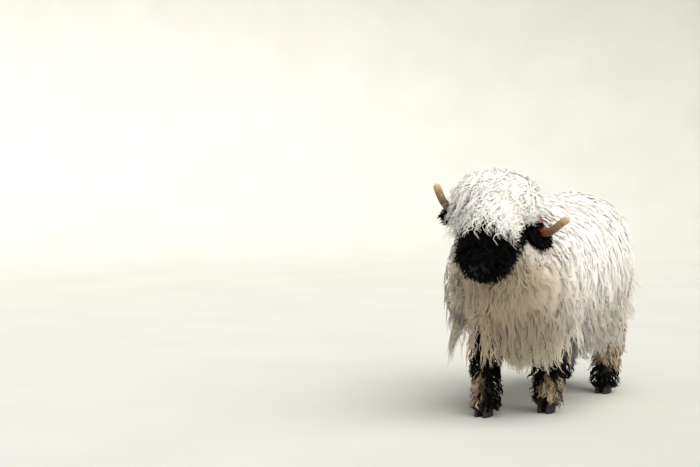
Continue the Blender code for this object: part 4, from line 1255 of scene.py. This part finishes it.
class EWE_OT_fleece(bpy.types.Operator):
    """Grows the long wavy fleece of body and neck"""

    bl_idname = "ewe.fleece"
    bl_label = "Fleece"

    def execute(self, context):
        settings = context.scene.ewe
        tree = tree_of(TORSO, NECK, *LEGS.values())
        coat = Coat(FLEECE, settings.seed + 1)
        for form, other in ((TORSO, NECK), (NECK, TORSO)):
            self.grow(coat, tree, form, other, settings)
        coat.pieces("fleece", finish(cream_wool), "fleece")
        return {"FINISHED"}

    def grow(self, coat, tree, form, other, settings):
        """The staples of one form, which fall back along the spine and down the flanks."""
        wool, draw = coat.wool, coat.draw

        def bare(roots):
            """Roots inside another form, and those that thin the torso's upper half."""
            thinned = draw.uniform(0, 1, len(roots)) < THINNED
            hidden = thinned & (roots[:, 2] > THINNED_ABOVE) & (form is TORSO)
            hidden |= other.holds(roots, -other.inset - 0.004) | HEAD.holds(roots, 0.01)
            for leg in LEGS.values():
                hidden |= leg.holds(roots, -LEG_INSET)
            return hidden

        denser = NECK_DENSER if form is NECK else TORSO_DENSER
        _, places, roots, out = coat.roots(form, bare=bare, denser=denser)
        count = len(roots)
        steep = ramp(out[:, 2], 0.50, 0.90)[:, None]
        sideways = LEFT * np.clip(out[:, :1] * 3, -1, 1)
        pull = DOWN + BACKWARD * 0.16 * (1 - steep) + (BACKWARD * 0.9 + sideways * 0.5) * steep
        pull = unit(pull + draw.normal(0, 0.24, (count, 3)))
        stretch = settings.fleece_length / FLEECE.length, settings.fleece_height / FLEECE.height
        lengths = wool.length * stretch[0] * draw.uniform(0.75, 1.25, count)
        heights = wool.height * stretch[1] * (1 - 0.04 * draw.beta(1.2, 1.6, count))
        hem = settings.fleece_hem + draw.normal(0, 0.014, count)
        reach = np.maximum(roots[:, 2] - hem, 0.05)
        lengths += np.maximum(HANG_FROM - roots[:, 2], 0) * HANG
        lengths = np.minimum(lengths, reach * np.where(out[:, 2] < -0.2, 1.25, 1.0))
        sizes = wool, lengths, heights
        lines, outs = grow_locks(tree, roots, out, pull, *sizes, hem=hem, fullness=fleece_fullness)
        lines[:, :, 0] = reined(lines[:, :, 0], HALF_WIDTH, GIVE)
        lines[:, :, 1] = reined(lines[:, :, 1], HALF_LENGTH, GIVE)
        kept = self.clear(lines)
        coat.add(lines[kept], outs[kept], places[kept])

    def clear(self, lines):
        """Which locks keep off face, crown, tail, ears and horns."""
        kept = np.ones(len(lines), bool)
        for i in range(2, lines.shape[1], 2):
            spots = lines[:, i]
            kept &= ~HEAD.holds(spots, OFF_FACE) & ~MOP.holds(spots, OFF_CROWN) & ~TAIL.holds(spots, OFF_TAIL)
            for side in (1, -1):
                kept &= ~HORNS[side].holds(spots, OFF_HORNS) & ~EARS[side].holds(spots, OFF_EARS)
        return kept


class EWE_OT_crown(bpy.types.Operator):
    """Grows the curly crown and the forelock that hangs over the eyes"""

    bl_idname = "ewe.crown"
    bl_label = "Crown and forelock"

    def execute(self, context):
        settings = context.scene.ewe
        coat = Coat(CROWN, settings.seed + 2)
        self.grow(coat, settings.crown_length / CROWN.length)
        coat.pieces("crown", finish(cream_wool), "fleece")
        return {"FINISHED"}

    def grow(self, coat, stretch):
        """The staples of the crown, which fall to all sides; the forelock hangs lowest over her left eye."""
        wool, draw = coat.wool, coat.draw
        _, places, roots, out = coat.roots(MOP, bare=functools.partial(HEAD.holds, margin=-0.004))
        count = len(roots)
        level = out * (1, 1, 0)
        pull = unit(DOWN + level * 0.35 + FACING * 0.2 + draw.normal(0, 0.22, (count, 3)))
        front = ramp(out @ FACING, -0.2, 0.4)
        to_left = seen_from(POLL_FRAME, roots)[:, 0]
        hang = 0.90 + front * (0.55 + 0.65 * ramp(to_left, -0.07, 0.02)) * (1 - ramp(to_left, 0.03, 0.09))
        hang -= 0.50 * ramp(to_left, 0.05, 0.10)
        lengths = wool.length * stretch * hang * draw.uniform(0.75, 1.2, count)
        heights = wool.height * (1 - 0.07 * draw.beta(1.2, 1.6, count))
        heights *= np.where(draw.uniform(0, 1, count) < WISPS, WISP, 1.0)
        sizes = wool, lengths, heights
        lines, outs = grow_locks(tree_of(HEAD, MOP), roots, out, pull, *sizes, fullness=crown_fullness)
        local = seen_from(POLL_FRAME, lines)
        outward = local[:, :, 0] + 0.12 * local[:, :, 1] > TEMPLE_OUT
        kept = ~(outward & (local[:, :, 2] < TEMPLE_DOWN)).any(axis=1)
        for i in range(2, lines.shape[1]):
            for side, off_horn, off_ear in CROWN_GAPS:
                kept &= ~HORNS[side].holds(lines[:, i], off_horn) & ~EARS[side].holds(lines[:, i], off_ear)
        coat.add(lines[kept], outs[kept], places[kept])


def from_nose(local):
    """How far spots of the head's own frame are from the tip of the nose."""
    return np.linalg.norm(local - NOSE_AT, axis=1)


class EWE_OT_face(bpy.types.Operator):
    """Grows the black curls of face, cheeks and ears"""

    bl_idname = "ewe.face"
    bl_label = "Face and ears"

    def execute(self, context):
        seed = context.scene.ewe.seed
        self.face(Coat(FACE_WOOL, seed + 3))
        self.ears(Coat(EAR_WOOL, seed + 4))
        return {"FINISHED"}

    def bare(self, roots):
        """Roots under the crown, round the eyes and on the nose."""
        local = seen_from(HEAD_FRAME, roots)
        from_eye = np.linalg.norm(np.abs(local) * (1, 0, 0) + local * (0, 1, 1) - EYE_AT, axis=1)
        return MOP.holds(roots, -MOP_INSET) | (from_eye < EYE_BARE) | (from_nose(local) < NOSE_BARE)

    def face(self, coat):
        """Curls in all directions, short on the muzzle and on the upper brow."""
        wool, draw = coat.wool, coat.draw
        _, places, roots, out = coat.roots(HEAD, (0.12, 1.0), 0.001, self.bare)
        count, local = len(roots), seen_from(HEAD_FRAME, roots)
        brow = ramp(-local[:, 1], 0.02, 0.10) + ramp(-local[:, 2], -0.02, 0.03)
        short = (0.30 + 0.70 * ramp(from_nose(local), 0.02, 0.10)) * (0.35 + 0.65 * np.minimum(brow, 1))
        pull = unit(DOWN * 0.7 + out * 0.3 + draw.normal(0, 0.60, (count, 3)))
        lengths = wool.length * short * draw.uniform(0.7, 1.2, count)
        heights = wool.height * short * draw.uniform(0.80, 1.0, count)
        coat.add(*grow_locks(tree_of(HEAD), roots, out, pull, wool, lengths, heights, rise=0.5), places)
        coat.pieces("face_wool", finish(dark_wool), "black_wool")

    def ears(self, coat):
        """Short curls that point along the ears."""
        wool, draw = coat.wool, coat.draw
        for form in EARS.values():
            share, places, roots, out = coat.roots(form, (0.15, 1.0), 0.001)
            row = (np.clip(share, 0, 1) * (form.SLICES - 1)).astype(int)
            along = unit(np.gradient(form.rows[:, :3], axis=0))[row]
            pull = unit(along * 1.2 + out * 0.3 + DOWN * 0.3 + draw.normal(0, 0.3, (len(roots), 3)))
            lengths = wool.length * draw.uniform(0.6, 1.3, len(roots))
            heights = wool.height * draw.uniform(0.4, 1.2, len(roots))
            coat.add(*grow_locks(tree_of(form), roots, out, pull, wool, lengths, heights, rise=0.8), places)
        coat.pieces("ear_wool", finish(dark_wool), "black_wool")


class EWE_OT_legs(bpy.types.Operator):
    """Grows the black and tan wool of the legs and the tail"""

    bl_idname = "ewe.legs"
    bl_label = "Legs and tail"

    def execute(self, context):
        seed = context.scene.ewe.seed
        for i, name in enumerate(LEGS):
            self.leg(name, Coat(LEG_WOOL, seed + 5 + i))
        self.tail("tail_wool", cream_wool, "fleece", (TAIL_BLACK, 1.0), Coat(TAIL_WOOL, seed + 9))
        self.tail("tail_patch", dark_wool, "black_wool", (0.10, TAIL_BLACK), Coat(TAIL_WOOL, seed + 10))
        return {"FINISHED"}

    def leg(self, name, coat):
        """The wool of one leg, shorter at the foot. On a front leg some black staples stay in the tan."""
        form, wool, draw = LEGS[name], coat.wool, coat.draw
        in_torso = functools.partial(TORSO.holds, margin=-TORSO_INSET)
        _, places, roots, out = coat.roots(form, (0.18, 1.0), bare=in_torso)
        count = len(roots)
        pull = unit(DOWN + out * 0.28 + draw.normal(0, 0.20, (count, 3)))
        at_foot = ramp(roots[:, 2], 0.10, 0.03)
        lengths = wool.length * draw.uniform(0.7, 1.3, count) * (1 - 0.45 * at_foot)
        heights = wool.height * draw.uniform(0.7, 1.0, count)
        hem = FOOT_HEM + draw.uniform(0, 0.012, count)
        lines, outs = grow_locks(tree_of(form), roots, out, pull, wool, lengths, heights, rise=0.45, hem=hem)
        tan = leg_marks(name, roots - np.array(SHIFT))[1]
        if name.startswith("front"):
            tan = np.where(draw.uniform(0, 1, count) < TAN_KEPT, tan, tan * 0.2)
        coat.add(lines, outs, places, tan)
        coat.pieces(f"{name}_wool", finish(dark_wool), "black_wool")

    def tail(self, name, make, slot, span, coat):
        """The wool of one stretch of the tail."""
        wool, draw = coat.wool, coat.draw
        _, places, roots, out = coat.roots(TAIL, span)
        count = len(roots)
        pull = unit(DOWN + out * 0.25 + draw.normal(0, 0.12, (count, 3)))
        lengths = wool.length * draw.uniform(0.7, 1.2, count)
        heights = wool.height * draw.uniform(0.5, 1.1, count)
        coat.add(*grow_locks(tree_of(TAIL), roots, out, pull, wool, lengths, heights, rise=0.5), places)
        coat.pieces(name, finish(make), slot)


class EWE_OT_stage(bpy.types.Operator):
    """Builds the pale studio floor, which bends up all round, its soft lights and the camera"""

    bl_idname = "ewe.stage"
    bl_label = "Studio"

    def execute(self, context):
        flat, bend, wall, steps = 8.0, 4.0, 3.0, 12
        bm = bmesh.new()
        bmesh.ops.create_circle(bm, cap_ends=True, segments=128, radius=flat)
        arc = np.linspace(0, math.pi / 2, steps)
        curve = [(flat + bend * math.sin(a), bend * (1 - math.cos(a))) for a in arc]
        for radius, height in [*curve[1:], (flat + bend, bend + wall)]:
            rim = [edge for edge in bm.edges if edge.is_boundary]
            made = bmesh.ops.extrude_edge_only(bm, edges=rim)["geom"]
            for vert in (v for v in made if isinstance(v, bmesh.types.BMVert)):
                vert.co = (*(vert.co.xy.normalized() * radius), height)
        floor = to_object("floor", bm, closed=False)
        floor.data.materials.append(finish(studio_floor))
        for light in LIGHTS:
            self.light(*light)
        world = bpy.data.worlds.new("soft studio")
        context.scene.world = world
        world.use_nodes = True
        world.node_tree.nodes["Background"].inputs["Color"].default_value = linear("#E9EBEA")
        world.node_tree.nodes["Background"].inputs["Strength"].default_value = 0.60
        context.scene.view_settings.view_transform = "Standard"
        self.camera(context)
        return {"FINISHED"}

    def light(self, name, kind, at, size, power, colour):
        data = bpy.data.lights.new(name, kind)
        data.energy, data.color = power, linear(colour)[:3]
        if kind == "SUN":
            data.angle = size
        else:
            data.size = size
        made = bpy.data.objects.new(name, data)
        made.location = at
        made.rotation_euler = (LIT_AT - Vector(at)).to_track_quat("-Z", "Y").to_euler()
        bpy.context.scene.collection.objects.link(made)

    def camera(self, context):
        """The photograph's viewpoint, from 5 m away at the height of her poll."""
        data = bpy.data.cameras.new("camera")
        data.sensor_width, data.lens = 36.0, 63.36
        made = bpy.data.objects.new("camera", data)
        context.scene.collection.objects.link(made)
        look = CAMERA_AHEAD.normalized() * math.cos(CAMERA_DOWN) - Vector((0, 0, math.sin(CAMERA_DOWN)))
        made.location = CAMERA_AT + SHIFT
        made.rotation_euler = look.to_track_quat("-Z", "Y").to_euler()
        context.scene.camera = made


class EWE_PT_panel(bpy.types.Panel):
    """The ewe's sizes, colours and pieces"""

    bl_label = "Valais Blacknose ewe"
    bl_space_type = "VIEW_3D"
    bl_region_type = "UI"
    bl_category = "Ewe"

    def draw(self, context):
        for key in EweSettings.__annotations__:
            self.layout.prop(context.scene.ewe, key)
        for operator in OPERATORS:
            self.layout.operator(operator.bl_idname)


OPERATORS = (
    EWE_OT_skin, EWE_OT_eyes, EWE_OT_horns, EWE_OT_hooves, EWE_OT_mats, EWE_OT_fleece,
    EWE_OT_crown, EWE_OT_face, EWE_OT_legs, EWE_OT_stage,
)
CLASSES = (EweSettings, *OPERATORS, EWE_PT_panel)


def register():
    for cls in CLASSES:
        bpy.utils.register_class(cls)
    bpy.types.Scene.ewe = PointerProperty(type=EweSettings)


def unregister():
    del bpy.types.Scene.ewe
    for cls in reversed(CLASSES):
        bpy.utils.unregister_class(cls)


def main():
    register()
    for operator in OPERATORS:
        group, name = operator.bl_idname.split(".")
        getattr(getattr(bpy.ops, group), name)()


if __name__ == "__main__":
    main()
